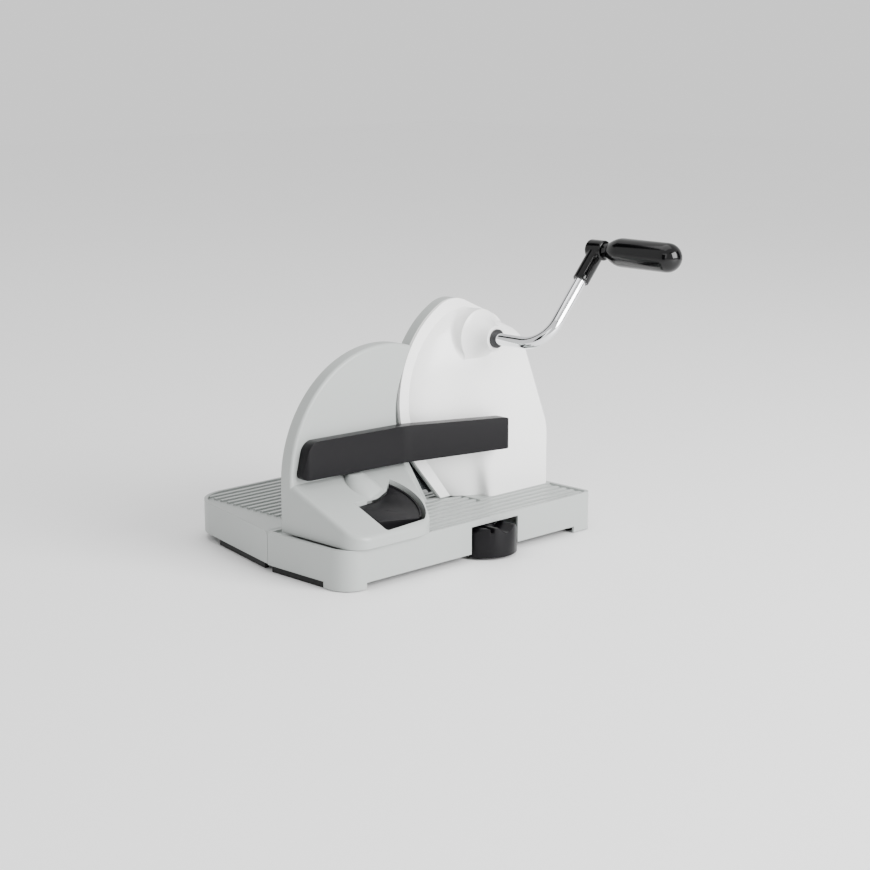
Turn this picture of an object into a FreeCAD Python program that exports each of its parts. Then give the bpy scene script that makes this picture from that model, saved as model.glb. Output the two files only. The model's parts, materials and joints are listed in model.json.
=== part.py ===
"""Hand cranked bread slicer: a parametric document, written out as one STEP file for each piece.

Frame: millimetres, +X to the right along the base, +Y away from the person who turns the crank,
+Z up. The origin is on the bench, under the middle of the suction cup.
"""
import math
import os

import FreeCAD
import Part
import Sketcher
from FreeCAD import Rotation, Vector

# ---------------------------------------------------------------- driving dimensions

SIZES = [
    # fixed base
    ("base_length", 390.0, "base, left end to right end"),
    ("base_depth", 127.0, "fixed base, front to seam"),
    ("base_front", 64.0, "origin to the front edge of the base"),
    ("base_height", 46.0, "bench to the top of the rim"),
    ("corner_left", 26.0, "front left corner radius of the base"),
    ("corner_right", 8.0, "front right corner radius of the base"),
    ("wall", 3.0, "moulded wall of base and table"),
    ("rim_width", 4.0, "width of the rim round the deck"),
    ("deck_drop", 3.0, "rim top down to the deck"),
    ("blade_slot_half", 34.0, "half the length of the blade's slot in the deck"),
    ("deck_thick", 3.0, "thickness of the deck"),
    ("rib_pitch", 12.0, "from one deck rib to the next"),
    ("rib_width", 5.0, "width of a deck rib"),
    ("rib_height", 2.2, "height of a deck rib"),
    ("skirt_gap", 8.0, "bench to the lower edge of the skirt"),
    ("foot_lift", 1.0, "bench to the underside of the corner feet"),
    ("foot_across", 30.0, "corner foot of the skirt, along the base"),
    ("foot_deep", 36.0, "corner foot of the skirt, across the base"),
    ("pad_radius", 9.0, "rubber foot radius"),
    ("pad_height", 3.0, "rubber foot height"),
    ("pad_inset", 20.0, "rubber foot centre from the ends of the base"),
    ("strip_width", 5.0, "width of a rubber strip inside the skirt"),
    ("strip_height", 10.0, "height of a rubber strip, from the bench"),
    # folding table
    ("table_depth", 183.0, "folding table, seam to far edge"),
    ("table_taper", 42.0, "how far the table's ends run in towards its far edge"),
    ("table_corner", 50.0, "far corner radius of the table"),
    ("seam_gap", 0.6, "gap between base and table"),
    ("knuckle_radius", 6.0, "rounded hinge edge of the table"),
    ("ear_width", 16.0, "width of a hinge ear"),
    ("ear_place", 130.0, "middle of the base to each hinge ear"),
    ("cheek_width", 8.0, "table's hinge cheek beside an ear"),
    ("hinge_pin_radius", 2.0, "hinge pin radius"),
    # blade and its drive
    ("axis_in", 114.0, "blade and crank axes, in from the right end of the base"),
    ("blade_axis_z", 151.5, "height of the blade axis"),
    ("blade_y", 49.4, "middle of the blade's thickness"),
    ("blade_radius", 109.0, "blade radius to the tips"),
    ("blade_thick", 1.2, "blade thickness"),
    ("blade_waves", 54.0, "waves round the blade's edge"),
    ("wave_depth", 2.2, "depth of a wave in the edge"),
    ("gear_module", 2.4, "tooth size of the drive"),
    ("gear_teeth", 54.0, "teeth of the blade gear"),
    ("pinion_teeth", 16.0, "teeth of the crank pinion"),
    ("gear_width", 8.0, "width of the blade gear"),
    ("gear_near_y", 30.5, "near face of the blade gear"),
    ("backlash", 0.5, "play between the teeth"),
    ("axle_radius", 6.0, "blade axle radius"),
    ("bush_wall", 2.5, "wall of the blade bush"),
    ("run_clear", 0.08, "running clearance on a radius"),
    ("hub_radius", 24.0, "hub between gear and blade"),
    # housing
    ("flange_shift", 18.0, "middle of the housing's round edge, right of the blade axis"),
    ("flange_z", 166.0, "height of the middle of the round edge"),
    ("flange_radius", 120.0, "radius of the housing's round edge"),
    ("crown_radius", 45.0, "radius over the top of the housing"),
    ("crown_start", 116.7, "angle where the round edge meets the crown"),
    ("slope_angle", 23.8, "fall of the housing's upper right edge"),
    ("side_angle", 68.0, "steepness of the housing's right shoulder"),
    ("side_knee", 118.0, "height where the right side turns upright"),
    ("flange_near_y", 36.0, "near face of the housing's flange"),
    ("flange_thick", 4.0, "flange thickness"),
    ("hood_wall", 3.0, "wall of the housing"),
    ("cover_bore", 10.0, "depth of the cover screws' bores, short of the dome's skin"),
    ("cover_screw_length", 14.0, "length of a cover screw"),
    ("hood_near_y", 0.0, "near face of the housing"),
    ("nose_y", -16.0, "tip of the crank nose"),
    ("nose_tip", 14.5, "crank nose radius at its tip"),
    ("nose_root", 31.0, "crank nose radius at its root"),
    ("nose_blend", 6.0, "fillet between nose and dome"),
    ("back_thick", 4.0, "thickness of the blade frame"),
    ("back_open", 69.0, "radius of the opening in the blade frame"),
    ("guard_lip", 9.0, "depth of the lip round the blade"),
    ("blade_clear", 3.0, "room round the blade's edge"),
    # crank
    ("rod_radius", 6.8, "crank rod radius"),
    ("crank_radius", 134.0, "crank axis to knob axis"),
    ("crank_angle", 48.0, "arm above the horizontal at rest"),
    ("arm_y", -89.0, "plane of the crank arm"),
    ("rod_bend", 32.0, "bend radius of the rod"),
    ("bush_radius", 9.2, "crank bush outer radius"),
    ("socket_radius", 9.5, "socket outer radius"),
    ("socket_length", 44.0, "socket length along the arm"),
    ("head_radius", 11.5, "radius of the socket's head"),
    ("head_length", 22.0, "length of the socket's head"),
    ("knob_radius", 16.5, "knob radius"),
    ("knob_length", 105.0, "knob length"),
    ("knob_neck", 9.0, "knob neck radius"),
    ("knob_pin_radius", 4.0, "knob pin radius"),
    ("clip_thick", 1.5, "thickness of the spring clip on the crank"),
    ("clip_bite", 1.2, "depth of the clip's groove"),
    # stop plate
    ("plate_thick", 16.0, "stop plate thickness"),
    ("slice_rest", 0.6, "stop plate to blade when closed"),
    ("plate_edge", 3.5, "rounding of the stop plate's front edge"),
    ("plate_in", 8.0, "stop plate's left edge, in from the left end of the base"),
    ("plate_round", 138.0, "radius of the stop plate's round edge"),
    ("plate_round_z", 101.0, "height of the middle of that edge"),
    ("bite_x", 67.0, "middle of the hollow edge beside the blade"),
    ("bite_z", 158.0, "height of the middle of the hollow edge"),
    ("bite_radius", 98.0, "radius of the hollow edge"),
    ("bite_gap", 4.0, "housing flange to the stop plate's edge"),
    ("slide_gap", 0.5, "rim top to the underside of the stop plate's foot"),
    ("foot_front", 71.0, "origin to the front of the foot"),
    ("foot_corner", 24.0, "front left corner radius of the foot"),
    ("slope_rise", 0.4, "rise of the foot's top for each mm towards the plate"),
    ("slope_base", 87.6, "height of that top above the origin"),
    ("foot_edge", 7.0, "rounding of the foot's upper edge"),
    ("slice_range", 14.0, "travel of the stop plate"),
    ("key_place", 57.5, "middle of the two guide keys to each key"),
    ("key_width", 6.0, "width of a guide key"),
    ("key_length", 40.0, "length of a guide key"),
    ("key_front", 5.0, "origin to the front end of the guide keys"),
    ("guide_clear", 0.3, "room beside a guide key"),
    ("clip_room", 2.0, "room between a guide clip and the foot post behind it"),
    # thickness lever
    ("pivot_x", -105.0, "thickness lever pivot, from the origin"),
    ("pivot_y", -19.0, "thickness lever pivot, from the origin"),
    ("lever_radius", 46.5, "thickness lever radius"),
    ("pocket_radius", 51.0, "radius of the lever's pocket"),
    ("lever_left", 32.2, "thickness lever, pivot to its left tip"),
    ("pivot_radius", 4.0, "radius of the lever's pivot pin"),
    ("lever_swing", 40.0, "thickness lever travel in degrees"),
    ("lever_edge_turn", 41.0, "where the lever's back edge may reach before its swing, in degrees"),
    ("lever_sink", 5.0, "lever face below the foot's top"),
    ("lever_rim", 3.3, "top of the lever's rim below the foot's top"),
    ("lever_clear", 0.5, "room round the thickness lever"),
    ("pocket_floor", 53.0, "height of the pocket's floor"),
    ("cave_roof", 3.0, "skin over the covered part of the pocket"),
    ("cam_radius", 2.5, "cam pin radius"),
    # slice guard
    ("bar_thick", 14.0, "slice guard thickness"),
    ("bar_low", 103.0, "lower edge of the slice guard"),
    ("bar_high", 42.0, "height of the slice guard at its bend"),
    ("bar_end", 7.0, "slice guard's left end, in from the stop plate's edge"),
    ("bar_end_lean", 10.0, "how far the guard's end leans in at its top"),
    ("bend_gap", 3.0, "slice guard's bend, left of the housing's round edge"),
    ("bar_reach", 132.0, "slice guard, bend to tip"),
    ("bar_angle", 20.0, "how far the guard's free end turns out"),
    # suction foot
    ("drum_x", 31.0, "suction lever pivot, right of the origin"),
    ("drum_y", -48.0, "suction lever pivot, from the origin"),
    ("drum_radius", 36.5, "suction lever radius"),
    ("drum_top", 38.0, "top of the suction lever"),
    ("cup_radius", 36.0, "suction cup radius"),
    ("cup_top", 17.0, "height of the suction cup's boss"),
    ("drum_pin_radius", 3.0, "suction lever pin radius"),
    ("stem_radius", 5.0, "suction stem radius"),
    ("collar_radius", 8.0, "radius of the collar that lifts the stem"),
    ("ramp_z", 25.5, "height of the suction lever's ramp at rest"),
    ("suction_lift", 4.0, "lift of the suction stem"),
    ("suction_swing", 50.0, "suction lever travel in degrees"),
]


class Dim:
    """A length that knows both its number and the spreadsheet expression behind it."""

    def __init__(self, text, number):
        self.text = text
        self.number = float(number)

    @staticmethod
    def of(value):
        if isinstance(value, Dim):
            return value
        return Dim("(%r)" % float(value), value)

    def join(self, other, sign, number):
        return Dim("(%s %s %s)" % (self.text, sign, other.text), number)

    def __add__(self, other):
        other = Dim.of(other)
        return self.join(other, "+", self.number + other.number)

    def __sub__(self, other):
        other = Dim.of(other)
        return self.join(other, "-", self.number - other.number)

    def __mul__(self, other):
        other = Dim.of(other)
        return self.join(other, "*", self.number * other.number)

    def __truediv__(self, other):
        other = Dim.of(other)
        return self.join(other, "/", self.number / other.number)

    def __radd__(self, other):
        return Dim.of(other) + self

    def __rsub__(self, other):
        return Dim.of(other) - self

    def __rmul__(self, other):
        return Dim.of(other) * self

    def __neg__(self):
        return Dim.of(0.0) - self


def sine(degrees):
    return Dim("sin(%s * 1 deg)" % degrees.text, math.sin(math.radians(degrees.number)))


def cosine(degrees):
    return Dim("cos(%s * 1 deg)" % degrees.text, math.cos(math.radians(degrees.number)))


class Sizes:
    """The driving dimensions: s.name is a Dim, and n.name below is its plain number."""


s = Sizes()
n = Sizes()
doc = FreeCAD.newDocument("bread_slicer")


def make_sheet():
    sheet = doc.addObject("Spreadsheet::Sheet", "Sizes")
    for row, (alias, number, meaning) in enumerate(SIZES, start=1):
        cell = "B%d" % row
        sheet.set("A%d" % row, alias)
        sheet.set(cell, str(number))
        sheet.set("C%d" % row, meaning)
        sheet.setAlias(cell, alias)
        setattr(s, alias, Dim("Sizes.%s" % alias, number))
        setattr(n, alias, number)
    doc.recompute()


make_sheet()

pieces = []


def keep(piece, label):
    """Give a finished sub-part its name, which is also its file's name."""
    piece.Label = label
    pieces.append(piece)
    return piece


# ---------------------------------------------------------------- helpers for document objects

TURN = {
    "Z": Rotation(),
    "-Z": Rotation(Vector(1, 0, 0), 180),
    "X": Rotation(Vector(0, 1, 0), 90),
    "Y": Rotation(Vector(1, 0, 0), -90),
    "-Y": Rotation(Vector(1, 0, 0), 90),
}


def bind(thing, path, value):
    thing.setExpression(path, Dim.of(value).text)


def place(thing, x, y, z, along="Z"):
    thing.Placement = FreeCAD.Placement(Vector(), TURN[along])
    bind(thing, "Placement.Base.x", x)
    bind(thing, "Placement.Base.y", y)
    bind(thing, "Placement.Base.z", z)
    return thing


def box(name, low, high):
    """A box from its low corner to its high corner."""
    thing = doc.addObject("Part::Box", name)
    for prop, a, b in zip(("Length", "Width", "Height"), low, high):
        bind(thing, prop, b - a)
    return place(thing, *low)


def rod(name, start, radius, length, along="Z"):
    """A cylinder from the middle of its first face, along an axis."""
    thing = doc.addObject("Part::Cylinder", name)
    bind(thing, "Radius", radius)
    bind(thing, "Height", length)
    return place(thing, *start, along=along)


def cone(name, start, radius, end_radius, length, along="Z"):
    thing = doc.addObject("Part::Cone", name)
    bind(thing, "Radius1", radius)
    bind(thing, "Radius2", end_radius)
    bind(thing, "Height", length)
    return place(thing, *start, along=along)


def fuse(name, things):
    thing = doc.addObject("Part::MultiFuse", name)
    thing.Shapes = things
    return thing


def cut(name, base, things):
    tool = things[0] if len(things) == 1 else fuse(name + "_tools", things)
    thing = doc.addObject("Part::Cut", name)
    thing.Base = base
    thing.Tool = tool
    return thing


def group(name, things):
    """Like pieces that share one node, each its own solid."""
    thing = doc.addObject("Part::Compound", name)
    thing.Links = things
    return thing


def solid(name, shape):
    """A piece whose form only Part's own functions make."""
    thing = doc.addObject("Part::Feature", name)
    thing.Shape = shape
    thing.Placement = FreeCAD.Placement()
    return thing


def new_body(name):
    return doc.addObject("PartDesign::Body", name)


def plane_of(body, role):
    for feature in body.Origin.OriginFeatures:
        if feature.Role == role:
            return feature
    raise RuntimeError("no plane " + role)


def outline(body, name, role, corners, offset=0.0):
    """A closed straight-sided sketch, each corner held to the origin by bound distances."""
    sketch = body.newObject("Sketcher::SketchObject", name)
    sketch.AttachmentSupport = [(plane_of(body, role), "")]
    sketch.MapMode = "FlatFace"
    bind(sketch, "AttachmentOffset.Base.z", offset)
    corners = [(Dim.of(a), Dim.of(b)) for a, b in corners]
    points = [Vector(a.number, b.number, 0) for a, b in corners]
    count = len(points)
    for i in range(count):
        sketch.addGeometry(Part.LineSegment(points[i], points[(i + 1) % count]), False)
    for i in range(count):
        add = sketch.addConstraint
        before = (i - 1) % count
        add(Sketcher.Constraint("Coincident", before, 2, i, 1))
        across = add(Sketcher.Constraint("DistanceX", -1, 1, i, 1, points[i].x))
        up = add(Sketcher.Constraint("DistanceY", -1, 1, i, 1, points[i].y))
        bind(sketch, "Constraints[%d]" % across, corners[i][0])
        bind(sketch, "Constraints[%d]" % up, corners[i][1])
    doc.recompute()
    return sketch


def pad(body, name, sketch, length, back=False):
    feature = body.newObject("PartDesign::Pad", name)
    feature.Profile = sketch
    bind(feature, "Length", length)
    feature.Reversed = back
    doc.recompute()
    return feature


def turned(body, name, sketch, axis):
    """A body turned about one of its sketch's axes."""
    feature = body.newObject("PartDesign::Revolution", name)
    feature.Profile = sketch
    feature.ReferenceAxis = (sketch, [axis])
    feature.Angle = 360
    doc.recompute()
    return feature


def round_edges(body, name, radius, test):
    """Rounds each edge of the body that the test picks."""
    last = body.Tip
    picked = ["Edge%d" % (i + 1) for i, edge in enumerate(last.Shape.Edges) if test(edge)]
    if not picked:
        raise RuntimeError(name + " finds no edge")
    feature = body.newObject("PartDesign::Fillet", name)
    feature.Base = (last, picked)
    bind(feature, "Radius", radius)
    doc.recompute()
    return feature


def repeat(body, name, feature, axis_role, span, count):
    """Copies of a feature in a row, the last one becoming the body's tip."""
    row = body.newObject("PartDesign::LinearPattern", name)
    row.Originals = [feature]
    row.Direction = (plane_of(body, axis_role), [""])
    bind(row, "Length", span)
    row.Occurrences = count
    body.Tip = row
    doc.recompute()
    return row


def upright(edge, x=None, y=None):
    """True for a straight upright edge, near x or y where they are given."""
    if len(edge.Vertexes) != 2 or not isinstance(edge.Curve, Part.Line):
        return False
    a, b = edge.Vertexes[0].Point, edge.Vertexes[1].Point
    if abs(a.x - b.x) > 1e-4 or abs(a.y - b.y) > 1e-4:
        return False
    return (x is None or abs(a.x - x) < 0.01) and (y is None or abs(a.y - y) < 0.01)


def polar(middle, radius, degrees):
    """A point on a circle in an upright plane along X."""
    turn = math.radians(degrees)
    return Vector(middle.x + radius * math.cos(turn), middle.y, middle.z + radius * math.sin(turn))


def corner_arc(point, back, ahead, radius):
    """The start, crest and end of the arc that rounds a corner between two directions."""
    half_turn = back.getAngle(ahead) / 2
    reach = radius / math.tan(half_turn)
    middle = point + (back + ahead).normalize() * (radius / math.sin(half_turn))
    crest = middle + (point - middle).normalize() * radius
    return point + back * reach, crest, point + ahead * reach


def slab(wire, depth):
    """The solid swept along +Y by a closed wire."""
    return Part.Face(wire).extrude(Vector(0, depth, 0))


def drum(x, y, z, radius, depth):
    """A plain cylinder along +Y."""
    return Part.makeCylinder(radius, depth, Vector(x, y, z), Vector(0, 1, 0))


# ---------------------------------------------------------------- places worked out from the sizes

half = s.base_length / 2
hood_right = half
axis_x = half - s.axis_in
flange_x = axis_x + s.flange_shift
plate_left = half - s.plate_in
bar_bend_x = flange_x - s.flange_radius - s.bend_gap
base_back = s.base_depth - s.base_front
deck_z = s.base_height - s.deck_drop
deck_under = deck_z - s.deck_thick
table_near = base_back + s.seam_gap
table_far = table_near + s.table_depth
hinge_y = table_near + s.knuckle_radius
hinge_z = s.base_height - s.knuckle_radius
centre_distance = s.gear_module * (s.gear_teeth + s.pinion_teeth) / 2
crank_z = s.blade_axis_z + centre_distance
blade_near = s.blade_y - s.blade_thick / 2
blade_far = s.blade_y + s.blade_thick / 2
plate_far = blade_near - s.slice_rest
plate_near = plate_far - s.plate_thick
foot_under = s.base_height + s.slide_gap
cam_reach = s.slice_range / (sine(s.lever_swing / 2) * 2)
cam_x = s.pivot_x + cam_reach * cosine(s.lever_swing / 2)
cam_y = s.pivot_y - cam_reach * sine(s.lever_swing / 2)
key_middle_x = s.pivot_x


# ---------------------------------------------------------------- fixed base


def rounded_slab(name, corners, radii, low, high):
    """A slab over a four-cornered outline, upright edges rounded where a radius is given."""
    body = new_body(name)
    block = outline(body, name + "_outline", "XY_Plane", corners, low)
    pad(body, name + "_pad", block, high - low)
    for number, ((x, y), radius) in enumerate(zip(corners, radii), start=1):
        if radius is not None:
            x, y = Dim.of(x).number, Dim.of(y).number
            picked = [edge for edge in body.Tip.Shape.Edges if upright(edge, x, y)]
            round_edges(body, "%s_corner_%d" % (name, number), radius, same_as(picked))
    return body


def same_as(picked):
    """A test that is true for the edges already picked."""
    return lambda edge: any(edge.isSame(other) for other in picked)


def four_corners(near, far, taper, inset, near_inset):
    """The tray's outline, drawn in by an inset and by another at its near edge."""
    return [(-half + inset, near + near_inset), (half - inset, near + near_inset),
            (half - taper - inset, far - inset), (-half + taper + inset, far - inset)]


def drawn_in(radii, inset):
    return [None if radius is None else radius - inset for radius in radii]


def tray(name, near, far, taper, radii, near_rim, under):
    """The three slabs of a shallow upside-down tray: block, hollow and recessed deck."""
    block = rounded_slab(name + "_block", four_corners(near, far, taper, 0.0, 0.0), radii,
                         under, s.base_height)
    hollow = rounded_slab(name + "_hollow", four_corners(near, far, taper, s.wall, s.wall),
                          drawn_in(radii, s.wall), under - 1.0, deck_under)
    recess = rounded_slab(name + "_recess", four_corners(near, far, taper, s.rim_width, near_rim),
                          drawn_in(radii, s.rim_width), deck_z, s.base_height + 1.0)
    return block, hollow, recess


def rib_rows(name, left, right, first, last):
    """Ribs along the deck from the first to the last, at the rib pitch."""
    body = new_body(name)
    corners = [(left, first), (right, first), (right, first + s.rib_width), (left, first + s.rib_width)]
    rib = outline(body, name + "_outline", "XY_Plane", corners, deck_z)
    one = pad(body, name + "_first", rib, s.rib_height)
    count = int((last.number - first.number - n.rib_width) / n.rib_pitch) + 1
    repeat(body, name + "_row", one, "Y_Axis", s.rib_pitch * (count - 1), count)
    return body


def make_base():
    radii = [s.corner_left, s.corner_right, None, None]
    block, hollow, recess = tray("base", -s.base_front, base_back, Dim.of(0.0), radii,
                                 s.rim_width, s.foot_lift)
    shell = cut("base_shell", block, [hollow, recess])
    added = [shell, rib_rows("base_ribs", -half + s.corner_left, half - s.rim_width - 4.0,
                             -s.base_front + s.rim_width + 4.0, base_back - s.rim_width)]
    added.append(box("housing_seat", (axis_x - 10.0, s.hood_near_y - 2.0, deck_z - 1.0),
                     (hood_right - 2.0, base_back, s.base_height)))
    for number, side in enumerate((-1, 1), start=1):
        x = side * s.ear_place
        low = x - s.ear_width / 2
        added.append(rod("ear_%d" % number, (low, hinge_y, hinge_z), s.knuckle_radius - 0.3,
                         s.ear_width, "X"))
        added.append(box("ear_web_%d" % number,
                         (low, base_back - s.wall, hinge_z - s.knuckle_radius + 0.3),
                         (low + s.ear_width, hinge_y, hinge_z + s.knuckle_radius - 0.3)))
    for number, (x, y) in enumerate(foot_places_base(), start=1):
        added.append(rod("foot_post_%d" % number, (x, y, s.pad_height), s.pad_radius + 2.0,
                         deck_under - s.pad_height + 1.0))
    guide_low = s.ramp_z + s.suction_lift + 4.3
    added.append(rod("stem_guide", (0.0, 0.0, guide_low), s.stem_radius + 3.0,
                     deck_under - guide_low + 1.0))
    added.append(rod("drum_boss", (s.drum_x, s.drum_y, s.drum_top - 2.2), 8.0,
                     deck_under - s.drum_top + 3.2))
    whole = fuse("base_whole", added)
    away = [box("skirt_front", (-half + s.foot_across, -s.base_front - 1.0, -1.0),
                (half - s.foot_across, base_back - 8.0, s.skirt_gap)),
            box("skirt_ends", (-half - 1.0, -s.base_front + s.foot_deep, -1.0),
                (half + 1.0, base_back + 1.0, s.skirt_gap))]
    keep_posts = fuse("posts_again", [rod("post_again_%d" % i, (x, y, s.pad_height),
                                          s.pad_radius + 2.0, s.skirt_gap)
                                      for i, (x, y) in enumerate(foot_places_base(), start=1)])
    skirted = cut("base_skirted", whole, away)
    posted = fuse("base_posted", [skirted, keep_posts])
    holes = [box("blade_slot", (axis_x - s.blade_slot_half, blade_near - 2.0, 0.0),
                 (axis_x + s.blade_slot_half, blade_far + 2.0, s.base_height + 5.0)),
             box("cam_slot",
                 (cam_x - s.cam_radius - s.guide_clear, cam_y - s.cam_radius - s.guide_clear, 0.0),
                 (s.pivot_x + cam_reach + s.cam_radius + s.guide_clear,
                  cam_y + s.cam_radius + s.guide_clear, s.base_height)),
             box("drum_slot", (s.drum_x - s.drum_radius - 1.0, -s.base_front - 1.0, -1.0),
                 (s.drum_x + s.drum_radius + 1.0, -s.base_front + s.wall + 0.5, s.drum_top + 1.0)),
             rod("stem_bore", (0.0, 0.0, -1.0), s.stem_radius + s.run_clear, deck_z)]
    for number, side in enumerate((-1, 1), start=1):
        x = key_middle_x + side * s.key_place
        reach = s.key_width / 2 + s.guide_clear
        holes.append(box("key_slot_%d" % number,
                         (x - reach, -s.key_front - s.slice_range - 0.5, 0.0),
                         (x + reach, -s.key_front + s.key_length + 0.5, s.base_height)))
        holes.append(rod("ear_bore_%d" % number,
                         (side * s.ear_place - s.ear_width, hinge_y, hinge_z),
                         s.hinge_pin_radius, s.ear_width * 2, "X"))
    for number, (x, y) in enumerate(seat_screws_front() + seat_screws_back(), start=1):
        holes.append(rod("seat_bore_%d" % number, (x, y, deck_under - 1.0), 2.1,
                         s.base_height - deck_under + 2.0))
    holes.append(rod("drum_pin_bore", (s.drum_x, s.drum_y, 0.0), s.drum_pin_radius, deck_z - 0.8))
    return keep(cut("base_cut", posted, holes), "base_frame")


def foot_places_base():
    """Rubber foot centres under the fixed base."""
    x = half - s.pad_inset
    return [(side * x, y) for side in (-1, 1)
            for y in (-s.base_front + s.pad_inset, base_back - s.pad_inset)]


def foot_places_table():
    """Rubber foot centres under the folding table."""
    x = half - s.table_taper - s.pad_inset
    return [(side * x, table_far - s.pad_inset) for side in (-1, 1)]


def make_feet(name, places):
    """Rubber feet, and the rubber strips that close the ends below the skirt."""
    feet = [cone("%s_%d" % (name, i), (x, y, 0.0), s.pad_radius - 1.0, s.pad_radius, s.pad_height)
            for i, (x, y) in enumerate(places, start=1)]
    return keep(group(name + "_set", feet), name)


def make_end_strips():
    """Rubber strips inside the skirt, along the ends of base and table."""
    inside = half - s.wall
    near = -s.base_front + s.foot_deep + 2.0
    far = base_back - s.wall - 0.3
    base = [box("end_strip_%d" % i, (low, near, 0.0), (low + s.strip_width, far, s.strip_height))
            for i, low in enumerate((-inside, inside - s.strip_width), start=1)]
    keep(group("end_strip_set", base), "base_end_strips")
    start = table_near + s.knuckle_radius * 2
    end = table_far - s.table_corner - 10.0
    run_in = s.table_taper / s.table_depth
    table = []
    for i, side in enumerate((-1, 1), start=1):
        corners = [(side * (inside - run_in * (y - table_near) - drop), y)
                   for y, drop in ((start, 0.6), (end, 0.6), (end, 0.6 + s.strip_width),
                                   (start, 0.6 + s.strip_width))]
        body = new_body("table_strip_%d" % i)
        pad(body, "table_strip_pad_%d" % i,
            outline(body, "table_strip_outline_%d" % i, "XY_Plane", corners, Dim.of(0.5)),
            s.strip_height)
        table.append(body)
    keep(group("table_strip_set", table), "table_end_strips")


# ---------------------------------------------------------------- folding table


def make_table():
    radii = [None, None, s.table_corner, s.table_corner]
    block, hollow, recess = tray("table", table_near, table_far, s.table_taper, radii,
                                 s.knuckle_radius + 3.0, s.skirt_gap + 1.0)
    near = table_near.number
    top = n.base_height

    def hinge_edge(edge):
        ends = [v.Point for v in edge.Vertexes]
        return len(ends) == 2 and all(abs(p.y - near) < 0.01 and abs(p.z - top) < 0.01 for p in ends)

    round_edges(block, "knuckle", s.knuckle_radius, hinge_edge)
    ribs = rib_rows("table_ribs", -half + s.table_taper + 12.0, half - s.table_taper - 12.0,
                    table_near + s.knuckle_radius + 6.0, table_far - s.rim_width - 4.0)
    shell = cut("table_shell", block, [hollow, recess])
    added = [shell, ribs]
    away = []
    for number, side in enumerate((-1, 1), start=1):
        x = side * s.ear_place
        notch = s.ear_width / 2 + 0.4
        reach = notch + s.cheek_width
        added.append(rod("cheek_%d" % number, (x - reach, hinge_y, hinge_z), s.knuckle_radius,
                         reach * 2, "X"))
        added.append(box("cheek_block_%d" % number,
                         (x - reach, hinge_y, hinge_z - s.knuckle_radius),
                         (x + reach, hinge_y + s.knuckle_radius + 3.0, deck_under + 0.5)))
        away.append(box("notch_%d" % number,
                        (x - notch, table_near - 1.0, hinge_z - s.knuckle_radius - 0.3),
                        (x + notch, hinge_y + s.knuckle_radius + 0.3, s.base_height + 1.0)))
        away.append(rod("cheek_bore_%d" % number, (x - reach - 1.0, hinge_y, hinge_z),
                        s.hinge_pin_radius + s.run_clear, reach * 2 + 2.0, "X"))
    for number, (x, y) in enumerate(foot_places_table(), start=1):
        added.append(rod("table_post_%d" % number, (x, y, s.pad_height), s.pad_radius + 2.0,
                         deck_under - s.pad_height + 1.0))
    return keep(cut("table_cut", fuse("table_whole", added), away), "folding_table")


def make_hinge_pins():
    reach = s.ear_width / 2 + 0.4 + s.cheek_width
    pins = [rod("hinge_pin_%d" % i, (side * s.ear_place - reach + 0.5, hinge_y, hinge_z),
                s.hinge_pin_radius, reach * 2 - 1.0, "X") for i, side in enumerate((-1, 1), start=1)]
    return keep(group("hinge_pin_set", pins), "hinge_pins")


def make_stem_parts():
    """Suction foot: the cup, the stem that pulls it up, and the lever with its slotted arm."""
    cup = lathe("suction_cup_body",
                [(0.0, 0.0), (s.cup_radius, 0.0), (s.cup_radius, 2.0), (s.cup_radius - 14.0, 9.0),
                 (s.stem_radius + 6.0, 10.0), (s.stem_radius + 4.0, s.cup_top - 1.0),
                 (s.stem_radius - 1.5, s.cup_top - 1.0), (s.stem_radius - 1.5, 4.0), (0.0, 4.0)],
                (0.0, 0.0, 0.0))
    keep(cup, "suction_cup")
    collar = s.ramp_z + 0.8
    stem = lathe("stem_body",
                 [(0.0, 4.3), (s.stem_radius - 1.8, 4.3), (s.stem_radius - 1.8, s.cup_top - 0.7),
                  (s.stem_radius, s.cup_top - 0.7), (s.stem_radius, collar),
                  (s.collar_radius, collar), (s.collar_radius, collar + 2.5),
                  (s.stem_radius, collar + 2.5), (s.stem_radius, deck_under - 2.5),
                  (0.0, deck_under - 2.5)],
                 (0.0, 0.0, 0.0))
    keep(stem, "suction_stem")


def lathe(name, profile, start, along="Z"):
    """A turned body: its profile is (radius, height) and its foot stands at the start point."""
    body = new_body(name)
    sketch = outline(body, name + "_profile", "XZ_Plane", profile)
    turned(body, name + "_turn", sketch, "V_Axis")
    place(body, *[Dim.of(value) for value in start], along=along)
    return body


# ---------------------------------------------------------------- housing


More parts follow.
